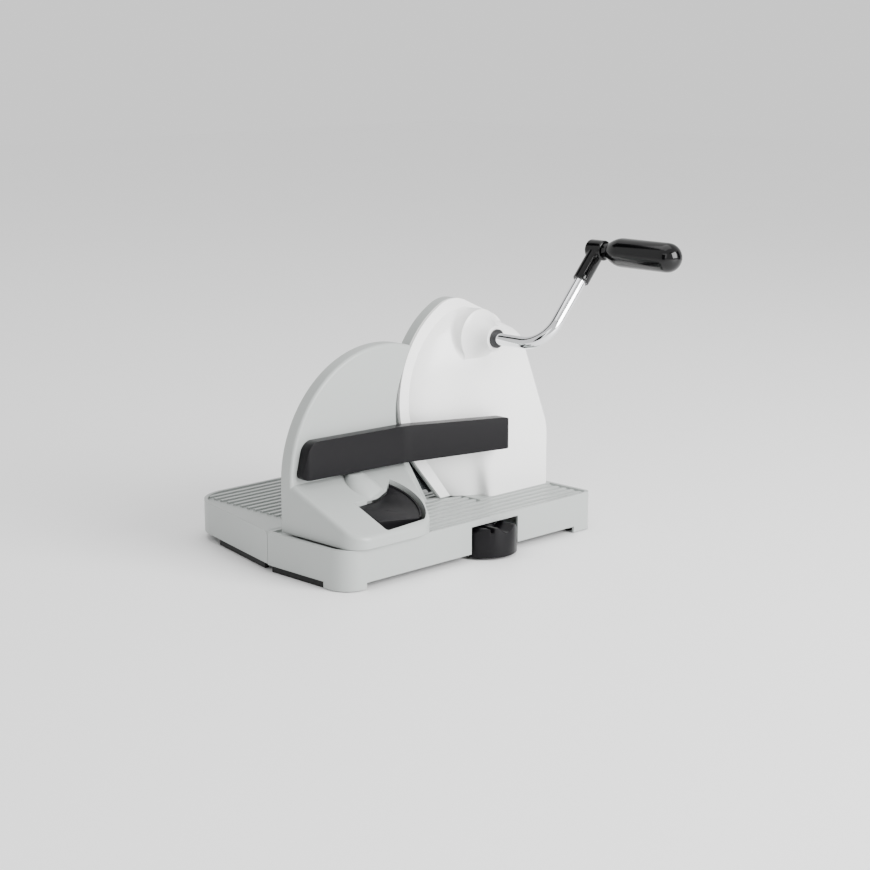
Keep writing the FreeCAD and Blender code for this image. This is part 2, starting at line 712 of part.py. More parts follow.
def hood_wire(y, left, middle_z, radius, crown, side_inset, tail_angle, floor_z):
    """The housing's outline at one depth: round on the left, sloping on top, upright on the right.

    The round edge ends at the tail angle and runs on straight to the floor.
    """
    middle = Vector(left + radius, y, middle_z)
    start = polar(middle, radius, n.crown_start)
    crown_middle = polar(middle, radius - crown, n.crown_start)
    fall = math.radians(n.slope_angle)
    along_slope = Vector(math.cos(fall), 0, -math.sin(fall))
    crown_end = polar(crown_middle, crown, 90.0 - n.slope_angle)
    right = hood_right.number - side_inset
    knee = Vector(right, y, n.side_knee)
    lean = math.radians(n.side_angle)
    up_side = Vector(-math.cos(lean), 0, math.sin(lean))
    gap = knee - crown_end
    cross = along_slope.x * up_side.z - along_slope.z * up_side.x
    run = (gap.x * up_side.z - gap.z * up_side.x) / cross
    shoulder = crown_end + along_slope * run
    tail = polar(middle, radius, tail_angle)
    tail_lean = math.tan(math.radians(tail_angle - 180.0))
    foot_left = Vector(tail.x + (tail.z - floor_z) * tail_lean, y, floor_z)
    foot_right = Vector(right, y, floor_z)

    turn = math.radians((n.side_angle - n.slope_angle) / 2)
    shoulder_radius = min(34.0 - side_inset / 2, 0.9 * run / math.tan(turn))
    s1, s2, s3 = corner_arc(shoulder, -along_slope, (knee - shoulder).normalize(), shoulder_radius)
    k1, k2, k3 = corner_arc(knee, (shoulder - knee).normalize(), Vector(0, 0, -1), 60.0)
    edges = [
        Part.Arc(start, polar(middle, radius, (n.crown_start + tail_angle) / 2), tail).toShape(),
        Part.LineSegment(tail, foot_left).toShape(),
        Part.LineSegment(foot_left, foot_right).toShape(),
        Part.LineSegment(foot_right, k3).toShape(),
        Part.Arc(k3, k2, k1).toShape(),
        Part.LineSegment(k1, s3).toShape(),
        Part.Arc(s3, s2, s1).toShape(),
        Part.LineSegment(s1, crown_end).toShape(),
        Part.Arc(crown_end, polar(crown_middle, crown, (90.0 - n.slope_angle + n.crown_start) / 2),
                 start).toShape(),
    ]
    return Part.Wire(edges)


FLANGE_TAIL = 221.0

# The dome, from the flange to its near face: share of the dome's depth, how far its left edge has
# moved in from the flange's, radius and height of its round edge, crown radius, how far its right
# side has moved in, and the tail angle.
DOME = [
    (1.00, 14.0, 106.0, 166.0, 31.0, 1.5, 219.0),
    (0.78, 25.0, 99.0, 168.4, 30.0, 2.0, 215.0),
    (0.39, 62.0, 82.0, 176.0, 30.0, 3.0, 203.0),
    (0.12, 88.0, 66.0, 181.0, 27.0, 5.0, 190.0),
    (0.00, 109.0, 50.0, 183.0, 22.0, 10.0, 184.0),
]


def dome_solid(wall, depth_shift):
    """The dome drawn in by a wall, and moved away from the crank by a shift."""
    left_edge = flange_x.number - n.flange_radius
    depth = n.flange_near_y - n.hood_near_y
    wires = []
    for share, inset, radius, middle_z, crown, side, tail in DOME:
        y = n.hood_near_y + share * depth + depth_shift
        wires.append(hood_wire(y, left_edge + inset + wall, middle_z, radius - wall, crown - wall,
                               side + wall, tail, n.base_height + wall))
    return Part.makeLoft(wires, True, False, False, 3)


def flange_wire(y, inset):
    left = flange_x.number - n.flange_radius + inset
    return hood_wire(y, left, n.flange_z, n.flange_radius - inset, n.crown_radius - inset, inset,
                     FLANGE_TAIL, n.base_height + inset)


# The cover's screws, right of and above the blade axis: round the blade gear, clear of the pinion.
COVER_SCREWS = [(-73.5, 12.0), (-42.0, 82.0), (66.0, 44.0), (100.0, -76.0), (8.0, -88.0)]


def cover_screw_places():
    return [(axis_x.number + across, n.blade_axis_z + up) for across, up in COVER_SCREWS]


def seat_screws_front():
    """Screws up through the seat into the cover."""
    return [(axis_x.number + 39.0, n.hood_near_y + 16.0), (axis_x.number + 94.0, n.hood_near_y + 16.0)]


def seat_screws_back():
    """Screws up through the seat into the blade frame, to the right of the blade."""
    y = n.flange_near_y + n.flange_thick + n.back_thick + 8.0
    return [(axis_x.number + 62.0, y), (axis_x.number + 76.0, y)]


def make_cover():
    near, flange_y = n.hood_near_y, n.flange_near_y
    back_y = flange_y + n.flange_thick
    cz = crank_z.number
    shell = dome_solid(0.0, 0.0)
    nose = nose_solid()
    outer = shell.fuse(nose)
    seam = [edge for edge in outer.Edges if nose_seam(edge)]
    outer = outer.makeFillet(n.nose_blend, seam)
    hollow = dome_solid(n.hood_wall, n.hood_wall)
    hollow = hollow.fuse(slab(dome_mouth(), n.flange_thick + 2.0))
    hollow = hollow.fuse(drum(axis_x.number, near + 14.0, cz, n.nose_root - 5.0, back_y - near))
    posts = [drum(x, near, z, 4.5, back_y - near - 0.2) for x, z in cover_screw_places()]
    posts.append(drum(axis_x.number, near, n.blade_axis_z, 12.0, n.gear_near_y - 0.5 - near))
    posts.append(drum(axis_x.number, near, cz, n.bush_radius + 4.0, 13.0))
    posts += [Part.makeCylinder(5.0, 15.0, Vector(x, y, n.base_height)) for x, y in seat_screws_front()]
    inside = posts[0].multiFuse(posts[1:]).common(outer.fuse(slab(dome_mouth(), n.flange_thick)))
    flange = slab(flange_wire(flange_y, 0.0), n.flange_thick)
    cover = outer.fuse(flange).cut(hollow).fuse(inside)
    bores = [drum(axis_x.number, n.nose_y - 1.0, cz, n.bush_radius, 60.0),
             drum(axis_x.number, n.gear_near_y - 22.0, n.blade_axis_z, n.axle_radius, 30.0)]
    bores += [drum(x, back_y - n.cover_bore, z, 1.6, n.cover_bore + 1.0)
              for x, z in cover_screw_places()]
    bores += [Part.makeCylinder(1.6, 12.0, Vector(x, y, n.base_height)) for x, y in seat_screws_front()]
    cover = cover.cut(bores[0].multiFuse(bores[1:])).removeSplitter()
    return keep(solid("cover_shape", cover), "housing_cover")


def nose_seam(edge):
    """The line where the crank nose runs into the dome's face."""
    box_ = edge.BoundBox
    middle = Vector(axis_x.number, 0.0, crank_z.number)
    points = [edge.valueAt(t) for t in (edge.FirstParameter,
                                        (edge.FirstParameter + edge.LastParameter) / 2)]
    apart = [math.hypot(p.x - middle.x, p.z - middle.z) - n.nose_root for p in points]
    return all(abs(a) < 0.05 for a in apart) and box_.YMax < n.flange_near_y - 0.5 and box_.YLength > 0.5


def dome_mouth():
    """The hollow's outline where it opens through the flange."""
    inset, radius, middle_z, crown, side, tail = DOME[0][1:]
    left = flange_x.number - n.flange_radius + inset + n.hood_wall
    return hood_wire(n.flange_near_y - 1.0, left, middle_z, radius - n.hood_wall,
                     crown - n.hood_wall, side + n.hood_wall, tail, n.base_height + n.hood_wall)


def nose_solid():
    """The flared nose round the crank, turned about the crank axis."""
    tip, root = n.nose_y, n.flange_near_y
    flare_end = n.hood_near_y + 9.0
    x, z = axis_x.number, crank_z.number
    a = Vector(x, tip, z)
    b = Vector(x + n.nose_tip, tip, z)
    c = Vector(x + n.nose_tip + 1.0, tip + 4.0, z)
    middle = Vector(x + n.nose_tip + 7.0, tip + 17.0, z)
    d = Vector(x + n.nose_root, flare_end, z)
    e = Vector(x + n.nose_root, root, z)
    f = Vector(x, root, z)
    edges = [Part.LineSegment(a, b), Part.LineSegment(b, c), Part.Arc(c, middle, d),
             Part.LineSegment(d, e), Part.LineSegment(e, f), Part.LineSegment(f, a)]
    face = Part.Face(Part.Wire([edge.toShape() for edge in edges]))
    return face.revolve(a, Vector(0, 1, 0), 360)


def make_blade_frame():
    """Frame behind the cover: a ringed plate with a lip that guards the blade's right side."""
    y = n.flange_near_y + n.flange_thick
    x, z = axis_x.number, n.blade_axis_z
    plate = slab(flange_wire(y, 0.0), n.back_thick)
    lip_wire = flange_wire(y, 0.0)
    lip = slab(lip_wire, n.back_thick + n.guard_lip).cut(
        slab(flange_wire(y, n.hood_wall), n.back_thick + n.guard_lip + 1.0))
    blade_room = drum(x, y + n.back_thick, z, n.blade_radius + n.blade_clear, 60.0)
    lugs = [Part.makeBox(14.0, 14.0, 8.0, Vector(px - 7.0, y + 1.0, n.base_height))
            for px, py in seat_screws_back()]
    frame = plate.fuse(lip.cut(blade_room)).fuse(lugs)
    holes = [drum(x, y - 1.0, z, n.back_open, 20.0),
             drum(x, y - 1.0, crank_z.number, n.rod_radius + n.run_clear, 20.0)]
    holes += [drum(px, y - 1.0, pz, 2.1, 20.0) for px, pz in cover_screw_places()]
    holes += [Part.makeCylinder(1.6, 9.0, Vector(px, py, n.base_height)) for px, py in seat_screws_back()]
    frame = frame.cut(holes[0].multiFuse(holes[1:]))
    return keep(solid("frame_shape", frame), "blade_frame")


# ---------------------------------------------------------------- blade and drive


def make_blade():
    """A wave-edged blade: shallow scallops between its tips."""
    y = blade_near.number
    x, z = axis_x.number, n.blade_axis_z
    middle = Vector(x, y, z)
    waves = int(n.blade_waves)
    step = 360.0 / waves
    valley = n.blade_radius - n.wave_depth
    edges = [Part.Arc(polar(middle, n.blade_radius, i * step),
                      polar(middle, valley, (i + 0.5) * step),
                      polar(middle, n.blade_radius, (i + 1) * step)).toShape()
             for i in range(waves)]
    disc = slab(Part.Wire(edges), n.blade_thick)
    holes = [drum(x, y - 1.0, z, n.axle_radius + n.bush_wall + 0.1, 5.0)]
    holes += [drum(p.x, y - 1.0, p.z, 2.1, 5.0) for p in blade_screw_places()]
    return keep(solid("blade_shape", disc.cut(holes[0].multiFuse(holes[1:]))), "blade")


def blade_screw_places():
    middle = Vector(axis_x.number, 0.0, n.blade_axis_z)
    return [polar(middle, n.hub_radius - 7.0, turn) for turn in (90.0, 210.0, 330.0)]


def gear_wire(middle, teeth, turned_by):
    """An involute gear's outline: each flank an arc through three points of the involute."""
    pitch = n.gear_module * teeth / 2
    base = pitch * math.cos(math.radians(20.0))
    tip = pitch + n.gear_module
    root = pitch - 1.2 * n.gear_module
    half_tooth = math.pi / (2 * teeth) - n.backlash / (2 * pitch) / 1.0
    involute = lambda r: math.tan(math.acos(min(1.0, base / r))) - math.acos(min(1.0, base / r))
    at_pitch = involute(pitch)

    def flank(r, side, turn):
        angle = half_tooth + at_pitch - involute(max(r, base))
        return polar(middle, r, math.degrees(side * angle) + turn)

    low = max(root, base)
    mid = (low + tip) / 2
    step = 360.0 / teeth
    edges = []
    for i in range(teeth):
        turn = turned_by + i * step
        foot_in, knee_in = flank(low, -1, turn), flank(mid, -1, turn)
        top_in, top_out = flank(tip, -1, turn), flank(tip, 1, turn)
        knee_out, foot_out = flank(mid, 1, turn), flank(low, 1, turn)
        next_in = flank(low, -1, turn + step)
        edges.append(Part.Arc(foot_in, knee_in, top_in).toShape())
        edges.append(Part.LineSegment(top_in, top_out).toShape())
        edges.append(Part.Arc(top_out, knee_out, foot_out).toShape())
        if low - root > 0.05:
            down = polar(middle, root, math.degrees(half_tooth + at_pitch) + turn)
            rise = polar(middle, root, -math.degrees(half_tooth + at_pitch) + turn + step)
            edges.append(Part.LineSegment(foot_out, down).toShape())
            edges.append(Part.LineSegment(down, rise).toShape())
            edges.append(Part.LineSegment(rise, next_in).toShape())
        else:
            edges.append(Part.LineSegment(foot_out, next_in).toShape())
    return Part.Wire(edges)


def make_gears():
    """The blade gear with its hub, and the crank's pinion, a tooth of one in a gap of the other."""
    y = n.gear_near_y
    x, z = axis_x.number, n.blade_axis_z
    middle = Vector(x, y, z)
    gear = slab(gear_wire(middle, int(n.gear_teeth), 90.0), n.gear_width)
    groove = drum(x, y - 1.0, z, 56.0, 3.5).cut(drum(x, y - 2.0, z, n.hub_radius, 6.0))
    hub = drum(x, y, z, n.hub_radius, blade_near.number - y)
    holes = [drum(x, y - 1.0, z, n.axle_radius + n.bush_wall, 60.0)]
    holes += [drum(p.x, y + 8.0, p.z, 1.6, 60.0) for p in blade_screw_places()]
    holes += [drum(p.x, y - 1.0, p.z, 9.0, 20.0)
              for p in (polar(middle, 40.0, 30.0 + 60.0 * i) for i in range(6))]
    gear = gear.cut(groove).fuse(hub).cut(holes[0].multiFuse(holes[1:]))
    keep(solid("gear_shape", gear), "blade_gear")
    teeth = int(n.pinion_teeth)
    centre = Vector(x, y - 1.0, crank_z.number)
    pinion = slab(gear_wire(centre, teeth, 270.0 + 180.0 / teeth), n.gear_width + 2.0)
    pinion = pinion.cut(drum(x, y - 2.0, crank_z.number, n.rod_radius, 20.0))
    keep(solid("pinion_shape", pinion), "drive_pinion")


def make_blade_parts():
    x, z = axis_x, s.blade_axis_z
    start = s.gear_near_y - 22.0
    axle = rod("axle_rod", (x, start, z), s.axle_radius, blade_far + 4.0 - start, "Y")
    keep(axle, "blade_axle")
    outer = s.axle_radius + s.bush_wall
    bush_end = blade_far + 0.2
    bush = lathe("blade_bush_body", [(s.axle_radius + s.run_clear, 0.0), (outer, 0.0),
                                     (outer, bush_end - s.gear_near_y),
                                     (s.axle_radius + s.run_clear, bush_end - s.gear_near_y)],
                 (x, s.gear_near_y, z), "Y")
    keep(bush, "blade_bush")
    cap = lathe("blade_cap_body", [(s.axle_radius, 0.0), (12.8, 0.0), (12.8, 2.5), (10.5, 6.0),
                                   (0.0, 6.0), (0.0, 3.7), (s.axle_radius, 3.7)],
                (x, blade_far + 0.3, z), "Y")
    coin_slot = box("coin_slot", (x - 9.0, blade_far + 4.8, z - 1.0), (x + 9.0, blade_far + 9.0, z + 1.0))
    keep(cut("cap_cut", cap, [coin_slot]), "blade_cap")
    screws = []
    for i, p in enumerate(blade_screw_places(), start=1):
        screws.append(screw("blade_screw_%d" % i, (p.x, blade_far + 1.6, p.z), 3.6, 1.6, 1.6, 9.0, "-Y"))
    keep(group("blade_screw_set", screws), "blade_screws")


def screw(name, start, head_radius, head_height, shank_radius, length, along):
    """A screw with a flat round head, its head's outer face at the start point."""
    return lathe(name, [(0.0, 0.0), (head_radius, 0.0), (head_radius, head_height),
                        (shank_radius, head_height), (shank_radius, length), (0.0, length)],
                 start, along)


def make_housing_screws():
    y = s.flange_near_y + s.flange_thick + s.back_thick
    screws = [screw("cover_screw_%d" % i, (px, y + 1.8, pz), 3.8, 1.8, 1.6, s.cover_screw_length, "-Y")
              for i, (px, pz) in enumerate(cover_screw_places(), start=1)]
    keep(group("cover_screw_set", screws), "cover_screws")
    places = [(px, py, 16.0) for px, py in seat_screws_front()]
    places += [(px, py, 13.0) for px, py in seat_screws_back()]
    seats = [screw("seat_screw_%d" % i, (px, py, deck_under - 1.8), 3.8, 1.8, 1.6, length, "Z")
             for i, (px, py, length) in enumerate(places, start=1)]
    keep(group("seat_screw_set", seats), "seat_screws")


# ---------------------------------------------------------------- crank


def crank_places():
    """The rod's run: axis point at the bend, arm direction and the knob's middle line."""
    lift = math.radians(n.crank_angle)
    along = Vector(math.cos(lift), 0, math.sin(lift))
    bend = Vector(axis_x.number, n.arm_y, crank_z.number)
    return bend, along, bend + along * n.crank_radius


def crank_rod_shape(start_y, end_gap):
    """A round rod: along the crank axis, round the bend and out along the arm."""
    bend, along, end = crank_places()
    start = Vector(axis_x.number, start_y, crank_z.number)
    before = bend + Vector(0, n.rod_bend, 0)
    after = bend + along * n.rod_bend
    middle = before + along * n.rod_bend
    crest = middle + (bend - middle).normalize() * n.rod_bend
    path = Part.Wire([Part.LineSegment(start, before).toShape(),
                      Part.Arc(before, crest, after).toShape(),
                      Part.LineSegment(after, end - along * end_gap).toShape()])
    ring_edge = Part.makeCircle(n.rod_radius, start, Vector(0, -1, 0))
    return path.makePipeShell([Part.Wire([ring_edge])], True, True)


def make_crank():
    along, end = crank_places()[1:]
    shaft_end = n.flange_near_y + n.flange_thick + n.back_thick - 1.0
    rod_shape = crank_rod_shape(shaft_end, n.head_radius + 2.0)
    groove_y = n.gear_near_y - 3.0
    groove = drum(axis_x.number, groove_y, crank_z.number, n.rod_radius + 1.0, n.clip_thick).cut(
        drum(axis_x.number, groove_y, crank_z.number, n.rod_radius - n.clip_bite, n.clip_thick))
    keep(solid("crank_rod_shape", rod_shape.cut(groove)), "crank_rod")
    clip = drum(axis_x.number, groove_y, crank_z.number, n.rod_radius + 3.0, n.clip_thick)
    mouth = Part.makeBox(n.rod_radius, n.clip_thick + 2.0, n.rod_radius + 4.0,
                         Vector(axis_x.number - n.rod_radius / 2, groove_y - 1.0,
                                crank_z.number - n.rod_radius - 4.0))
    clip = clip.cut(drum(axis_x.number, groove_y - 1.0, crank_z.number,
                         n.rod_radius - n.clip_bite, n.clip_thick + 2.0).fuse(mouth))
    keep(solid("crank_clip_shape", clip), "crank_clip")
    inner = s.rod_radius + s.run_clear
    length = Dim.of(14.0)
    bush = lathe("crank_bush_body",
                 [(inner, -2.5), (s.bush_radius + 1.5, -2.5), (s.bush_radius + 1.5, 0.0),
                  (s.bush_radius, 0.0), (s.bush_radius, length), (inner, length)],
                 (axis_x, s.nose_y, crank_z), "Y")
    keep(bush, "crank_bush")
    make_socket(along, end)


def make_socket(along, end):
    """The moulded socket on the arm's end: sleeve, cross head and the slot for the rod."""
    back = end - along * n.socket_length
    sleeve = Part.makeCylinder(n.socket_radius, n.socket_length, back, along)
    sleeve = sleeve.makeChamfer(1.0, [edge for edge in sleeve.Edges
                                      if (edge.BoundBox.Center - back).Length < 1.0])
    head_near = n.arm_y - n.head_length / 2
    head = drum(end.x, head_near, end.z, n.head_radius, n.head_length)
    head = head.makeFillet(2.0, [edge for edge in head.Edges if isinstance(edge.Curve, Part.Circle)])
    bore = Part.makeCylinder(n.rod_radius, n.socket_length, back - along * 2.0, along)
    stop = Part.makeCylinder(n.socket_radius, n.socket_length, end - along * (n.head_radius + 2.0),
                             along)
    pin_room = drum(end.x, head_near - 1.0, end.z, n.knob_pin_radius, n.head_length - 3.0)
    socket = sleeve.fuse(head).cut(bore.cut(stop)).cut(pin_room)
    across = Vector(0, 1, 0).cross(along)
    slot = Part.makeBox(n.socket_length * 0.55, 4.0, 5.0)
    slot.Placement = FreeCAD.Placement(Vector(), Rotation(along, Vector(0, 1, 0), across, "XYZ"))
    slot.translate(back + along * 6.0 + Vector(0, -n.socket_radius - 1.0, 0) - across * 2.5)
    keep(solid("socket_shape", socket.cut(slot)), "crank_socket")
    make_knob(end, head_near)


def make_knob(end, head_near):
    """The turning knob and the pin it turns on, both along Y."""
    bend_x = axis_x + s.crank_radius * cosine(s.crank_angle)
    bend_z = crank_z + s.crank_radius * sine(s.crank_angle)
    face = s.arm_y - s.head_length / 2
    gap = Dim.of(0.5)
    knob = lathe("knob_body",
                 [(s.knob_pin_radius + s.run_clear, 0.0), (s.knob_neck, 0.0), (s.knob_neck, 6.0),
                  (s.knob_radius - 1.0, 19.0), (s.knob_radius, 26.0),
                  (s.knob_radius, s.knob_length - s.knob_radius),
                  (s.knob_radius - 2.2, s.knob_length - s.knob_radius / 2),
                  (s.knob_radius - 7.0, s.knob_length - 3.0), (0.0, s.knob_length),
                  (0.0, s.knob_length - 8.0),
                  (s.knob_pin_radius + s.run_clear + 2.0, s.knob_length - 8.0),
                  (s.knob_pin_radius + s.run_clear + 2.0, s.knob_length - 14.0),
                  (s.knob_pin_radius + s.run_clear, s.knob_length - 14.0)],
                 (bend_x, face - gap, bend_z), "-Y")
    keep(knob, "crank_knob")
    pin_length = s.knob_length - 9.0 + gap
    pin = lathe("knob_pin_body",
                [(0.0, -s.head_length + 4.0), (s.knob_pin_radius, -s.head_length + 4.0),
                 (s.knob_pin_radius, pin_length - 4.7), (s.knob_pin_radius + 1.8, pin_length - 4.7),
                 (s.knob_pin_radius + 1.8, pin_length - 0.3), (0.0, pin_length - 0.3)],
                (bend_x, face, bend_z), "-Y")
    keep(pin, "knob_pin")


# ---------------------------------------------------------------- stop plate


def rounded_path(corners):
    """A closed wire through (point, radius) corners, with a tangent arc at each radius."""
    count = len(corners)
    ends = []
    for i, (point, radius) in enumerate(corners):
        if radius <= 0.0:
            ends.append((point, None, point))
            continue
        back = (corners[i - 1][0] - point).normalize()
        ahead = (corners[(i + 1) % count][0] - point).normalize()
        ends.append(corner_arc(point, back, ahead, radius))
    edges = []
    for i in range(count):
        first, crest, last = ends[i]
        if crest is not None:
            edges.append(Part.Arc(first, crest, last).toShape())
        edges.append(Part.LineSegment(last, ends[(i + 1) % count][0]).toShape())
    return Part.Wire(edges)


def column(points_and_radii, low, high):
    """An upright prism over a plan of ((x, y), radius) corners."""
    corners = [(Vector(x, y, low), radius) for (x, y), radius in points_and_radii]
    return Part.Face(rounded_path(corners)).extrude(Vector(0, 0, high - low))


def above_slope(drop):
    """Everything above the foot's sloping top, or above a plane that much below it."""
    front, back = -200.0, 200.0
    points = [Vector(-400, y, n.slope_base + n.slope_rise * y - drop) for y in (front, back)]
    points += [Vector(-400, back, 400), Vector(-400, front, 400)]
    face = Part.Face(Part.makePolygon(points + points[:1]))
    return face.extrude(Vector(800, 0, 0))


def plate_solid(y, inset, depth, low):
    """The stop plate, drawn in by an inset: round on the left, hollow beside the blade."""
    radius = n.plate_round - inset
    left = -plate_left.number + inset
    middle = Vector(left + radius, y, n.plate_round_z)
    right = polar(middle, radius, 30.0)
    wire = Part.Wire([
        Part.LineSegment(Vector(left, y, low), polar(middle, radius, 180.0)).toShape(),
        Part.Arc(polar(middle, radius, 180.0), polar(middle, radius, 100.0), right).toShape(),
        Part.LineSegment(right, Vector(right.x, y, low)).toShape(),
        Part.LineSegment(Vector(right.x, y, low), Vector(left, y, low)).toShape(),
    ])
    bite = drum(n.bite_x, y - 1.0, n.bite_z, n.bite_radius + inset, depth + 2.0)
    hood = drum(flange_x.number, y - 1.0, n.flange_z, n.flange_radius + n.bite_gap + inset, depth + 2.0)
    lower = polar(Vector(n.bite_x, y, n.bite_z), n.bite_radius, 216.3)
    points = [(lower.x - inset, lower.z), (lower.x + 32.0 - inset, low - 1.0),
              (lower.x + 200.0, low - 1.0), (lower.x + 200.0, lower.z + 60.0),
              (lower.x + 70.0, lower.z + 60.0)]
    points = [Vector(x, y - 1.0, z) for x, z in points]
    below = Part.Face(Part.makePolygon(points + points[:1])).extrude(Vector(0, depth + 2.0, 0))
    return slab(wire, depth).cut(bite.fuse([hood, below]))


def foot_plan(inset):
    left, front, back = -plate_left.number + inset, -n.foot_front + inset, plate_far.number - inset
    return [((left, front), n.foot_corner - inset), ((-75.0 - inset / 2, front), 36.0 - inset),
            ((-47.0 - inset, -30.0), 30.0), ((-17.0 - inset, 32.0), 0.0),
            ((-17.0 - inset, back), 0.0), ((left, back), 0.0)]


def pivot_plan(points):
    return [((n.pivot_x + x, n.pivot_y + y), radius) for x, y, radius in points]


def pocket_plan():
    """The open part of the lever's pocket, from the pivot."""
    room = n.pocket_radius
    left = -n.lever_left - 1.5 * n.lever_clear
    return pivot_plan([(left, -48.0, 3.0), (31.0, -44.0, 3.0), (room * 1.1, -18.0, 0.0),
                       (room * 1.1, 16.0, 0.0), (44.0, 30.0, 0.0), (24.2, 14.3, 0.0),
                       (3.4, 6.1, 20.0), (left, 4.6, 0.0)])


def make_stop_plate():
    near, far, low = plate_near.number, plate_far.number, foot_under.number
    plate = plate_solid(near, 0.0, far - near, low)
    front_edges = [edge for edge in plate.Edges
                   if all(abs(v.Y - near) < 0.01 for v in edge.Vertexes)
                   and edge.BoundBox.XMin < 1.0 - plate_left.number and edge.BoundBox.ZMax > low + 1.0]
    plate = plate.makeFillet(n.plate_edge, front_edges)
    foot = column(foot_plan(0.0), low, 140.0).cut(above_slope(0.0))
    rim = [edge for edge in foot.Edges
           if edge.BoundBox.ZMin > low + 1.0 and edge.BoundBox.YMax < near
           and all(abs(v.Z - n.slope_base - n.slope_rise * v.Y) < 0.01 for v in edge.Vertexes)]
    foot = foot.makeFillet(n.foot_edge, rim)
    foot = foot.cut(Part.makeBox(400, 60, 200, Vector(-300, near + 4.0, 0)))
    bulge = bulge_over_lever().cut(Part.makeBox(200, 60, 200, Vector(-200, near + 4.0, 0)))
    whole = plate.fuse([foot, bulge])
    middle = Vector(n.pivot_x, n.pivot_y, 0.0)
    room = n.pocket_radius
    opening = Part.makeCylinder(room, 200.0, Vector(middle.x, middle.y, n.pocket_floor))
    opening = column(pocket_plan(), n.pocket_floor, 160.0).common(
        opening.fuse(Part.makeBox(60, 60, 160, Vector(middle.x - 60.0, middle.y - 48.0, n.pocket_floor))))
    cave = sector(middle, 0.0, room, -60.0, n.lever_edge_turn + n.lever_swing, n.pocket_floor, 150.0)
    cave = cave.fuse(Part.makeCylinder(14.0, 100.0, Vector(middle.x, middle.y, n.pocket_floor)))
    cave = cave.cut(above_slope(n.cave_roof))
    reach = cam_reach.number
    slot = sector(middle, reach - n.cam_radius - n.guide_clear, reach + n.cam_radius + n.guide_clear,
                  -n.lever_swing / 2, n.lever_swing / 2, low - 1.0, n.pocket_floor + 1.0)
    ends = [Part.makeCylinder(n.cam_radius + n.guide_clear, n.pocket_floor - low + 2.0,
                              turned_point(middle, reach, turn, low - 1.0))
            for turn in (-n.lever_swing / 2, n.lever_swing / 2)]
    hollow = plate_solid(near + n.wall, n.wall, far - near - 2 * n.wall, low - 1.0)
    side_room = column(foot_plan(n.wall), low - 1.0, 140.0).cut(above_slope(n.wall)).common(
        Part.makeBox(plate_left.number - n.lever_left + n.pivot_x - n.wall - 2.0, 200.0, 200.0,
                     Vector(-plate_left.number, near - n.wall - 200.0, 0.0)))
    pin_bore = Part.makeCylinder(n.pivot_radius, 20.0, Vector(middle.x, middle.y, low - 1.0))
    whole = whole.cut([opening, cave, slot] + ends + [hollow, side_room, pin_bore])
    keys = [guide_key(x) for x in key_middles()]
    whole = whole.fuse(keys)
    bores = [Part.makeCylinder(1.3, 12.0, Vector(x, y, key_low())) for x, y in guide_screw_places()]
    for x, z in guard_screw_places():
        bores.append(drum(x, near - 1.0, z, 2.1, n.wall + 2.0))
        bores.append(drum(x, far - n.wall - 1.0, z, 4.4, n.wall + 2.0))
    whole = whole.cut(bores).removeSplitter()
    keep(solid("stop_plate_shape", whole), "stop_plate")


# The mound over the lever's pivot: how far below the slice guard each circle lies, how far behind
# the pivot its middle is, and its radius.
BULGE = [(33.0, 26.0, 25.0), (23.0, 27.0, 24.0), (13.0, 31.0, 20.5), (6.0, 36.0, 15.5),
         (0.4, 42.0, 9.0)]


def bulge_over_lever():
    """The soft mound over the lever's pivot: circles that shrink and lean towards the plate."""
    wires = [Part.Wire([Part.makeCircle(radius, Vector(n.pivot_x + 2.0, n.pivot_y + back,
                                                       n.bar_low - below))])
             for below, back, radius in BULGE]
    return Part.makeLoft(wires, True, False, False, 3)


def turned_point(middle, radius, degrees, z):
    """A point on a flat circle about an upright axis."""
    turn = math.radians(degrees)
    return Vector(middle.x + radius * math.cos(turn), middle.y + radius * math.sin(turn), z)


def sector(middle, inner, outer, start, end, low, high):
    """A piece of a flat ring about an upright axis, between two angles less than 180 apart."""
    base = Vector(middle.x, middle.y, low)
    whole = Part.makeCylinder(outer, high - low, base, Vector(0, 0, 1), end - start)
    if inner > 0.0:
        whole = whole.cut(Part.makeCylinder(inner, high - low, base))
    whole.rotate(base, Vector(0, 0, 1), start)
    return whole


def key_middles():
    return [key_middle_x.number + side * n.key_place for side in (-1, 1)]


def key_low():
    return deck_under.number - 0.5


def guide_key(x):
    return Part.makeBox(n.key_width, n.key_length, n.slope_base - 12.0 - key_low(),
                        Vector(x - n.key_width / 2, -n.key_front, key_low())).cut(above_slope(2.0))


def clip_far():
    """Far end of the guide clips: short of the foot post, and no longer than the key."""
    post = base_back.number - n.pad_inset - n.pad_radius - 2.0
    return min(post - n.clip_room, n.key_length - n.key_front)


def guide_screw_places():
    return [(x, y) for x in key_middles() for y in (8.0 - n.key_front, clip_far() - 5.0)]


def guard_screw_places():
    z = n.bar_low + n.bar_high / 2
    return [(-plate_left.number + 30.0, z), (bar_bend_x.number - 30.0, z)]


def make_guides():
    """Clips under the deck that hold the stop plate's keys down, with their screws."""
    top = deck_under - 0.5
    clips = []
    for i, x in enumerate(key_middles(), start=1):
        plate = box("clip_plate_%d" % i, (x - 8.0, -s.key_front, top - 3.0),
                    (x + 8.0, clip_far(), top))
        holes = [rod("clip_hole_%d_%d" % (i, j), (px, py, top - 4.0), 1.7, 5.0)
                 for j, (px, py) in enumerate(guide_screw_places()) if abs(px - x) < 1.0]
        clips.append(cut("clip_%d" % i, plate, holes))
    keep(group("guide_clip_set", clips), "guide_clips")
    screws = [screw("guide_screw_%d" % i, (px, py, top - 4.6), 3.0, 1.6, 1.3, 13.0, "Z")
              for i, (px, py) in enumerate(guide_screw_places(), start=1)]
    keep(group("guide_screw_set", screws), "guide_screws")


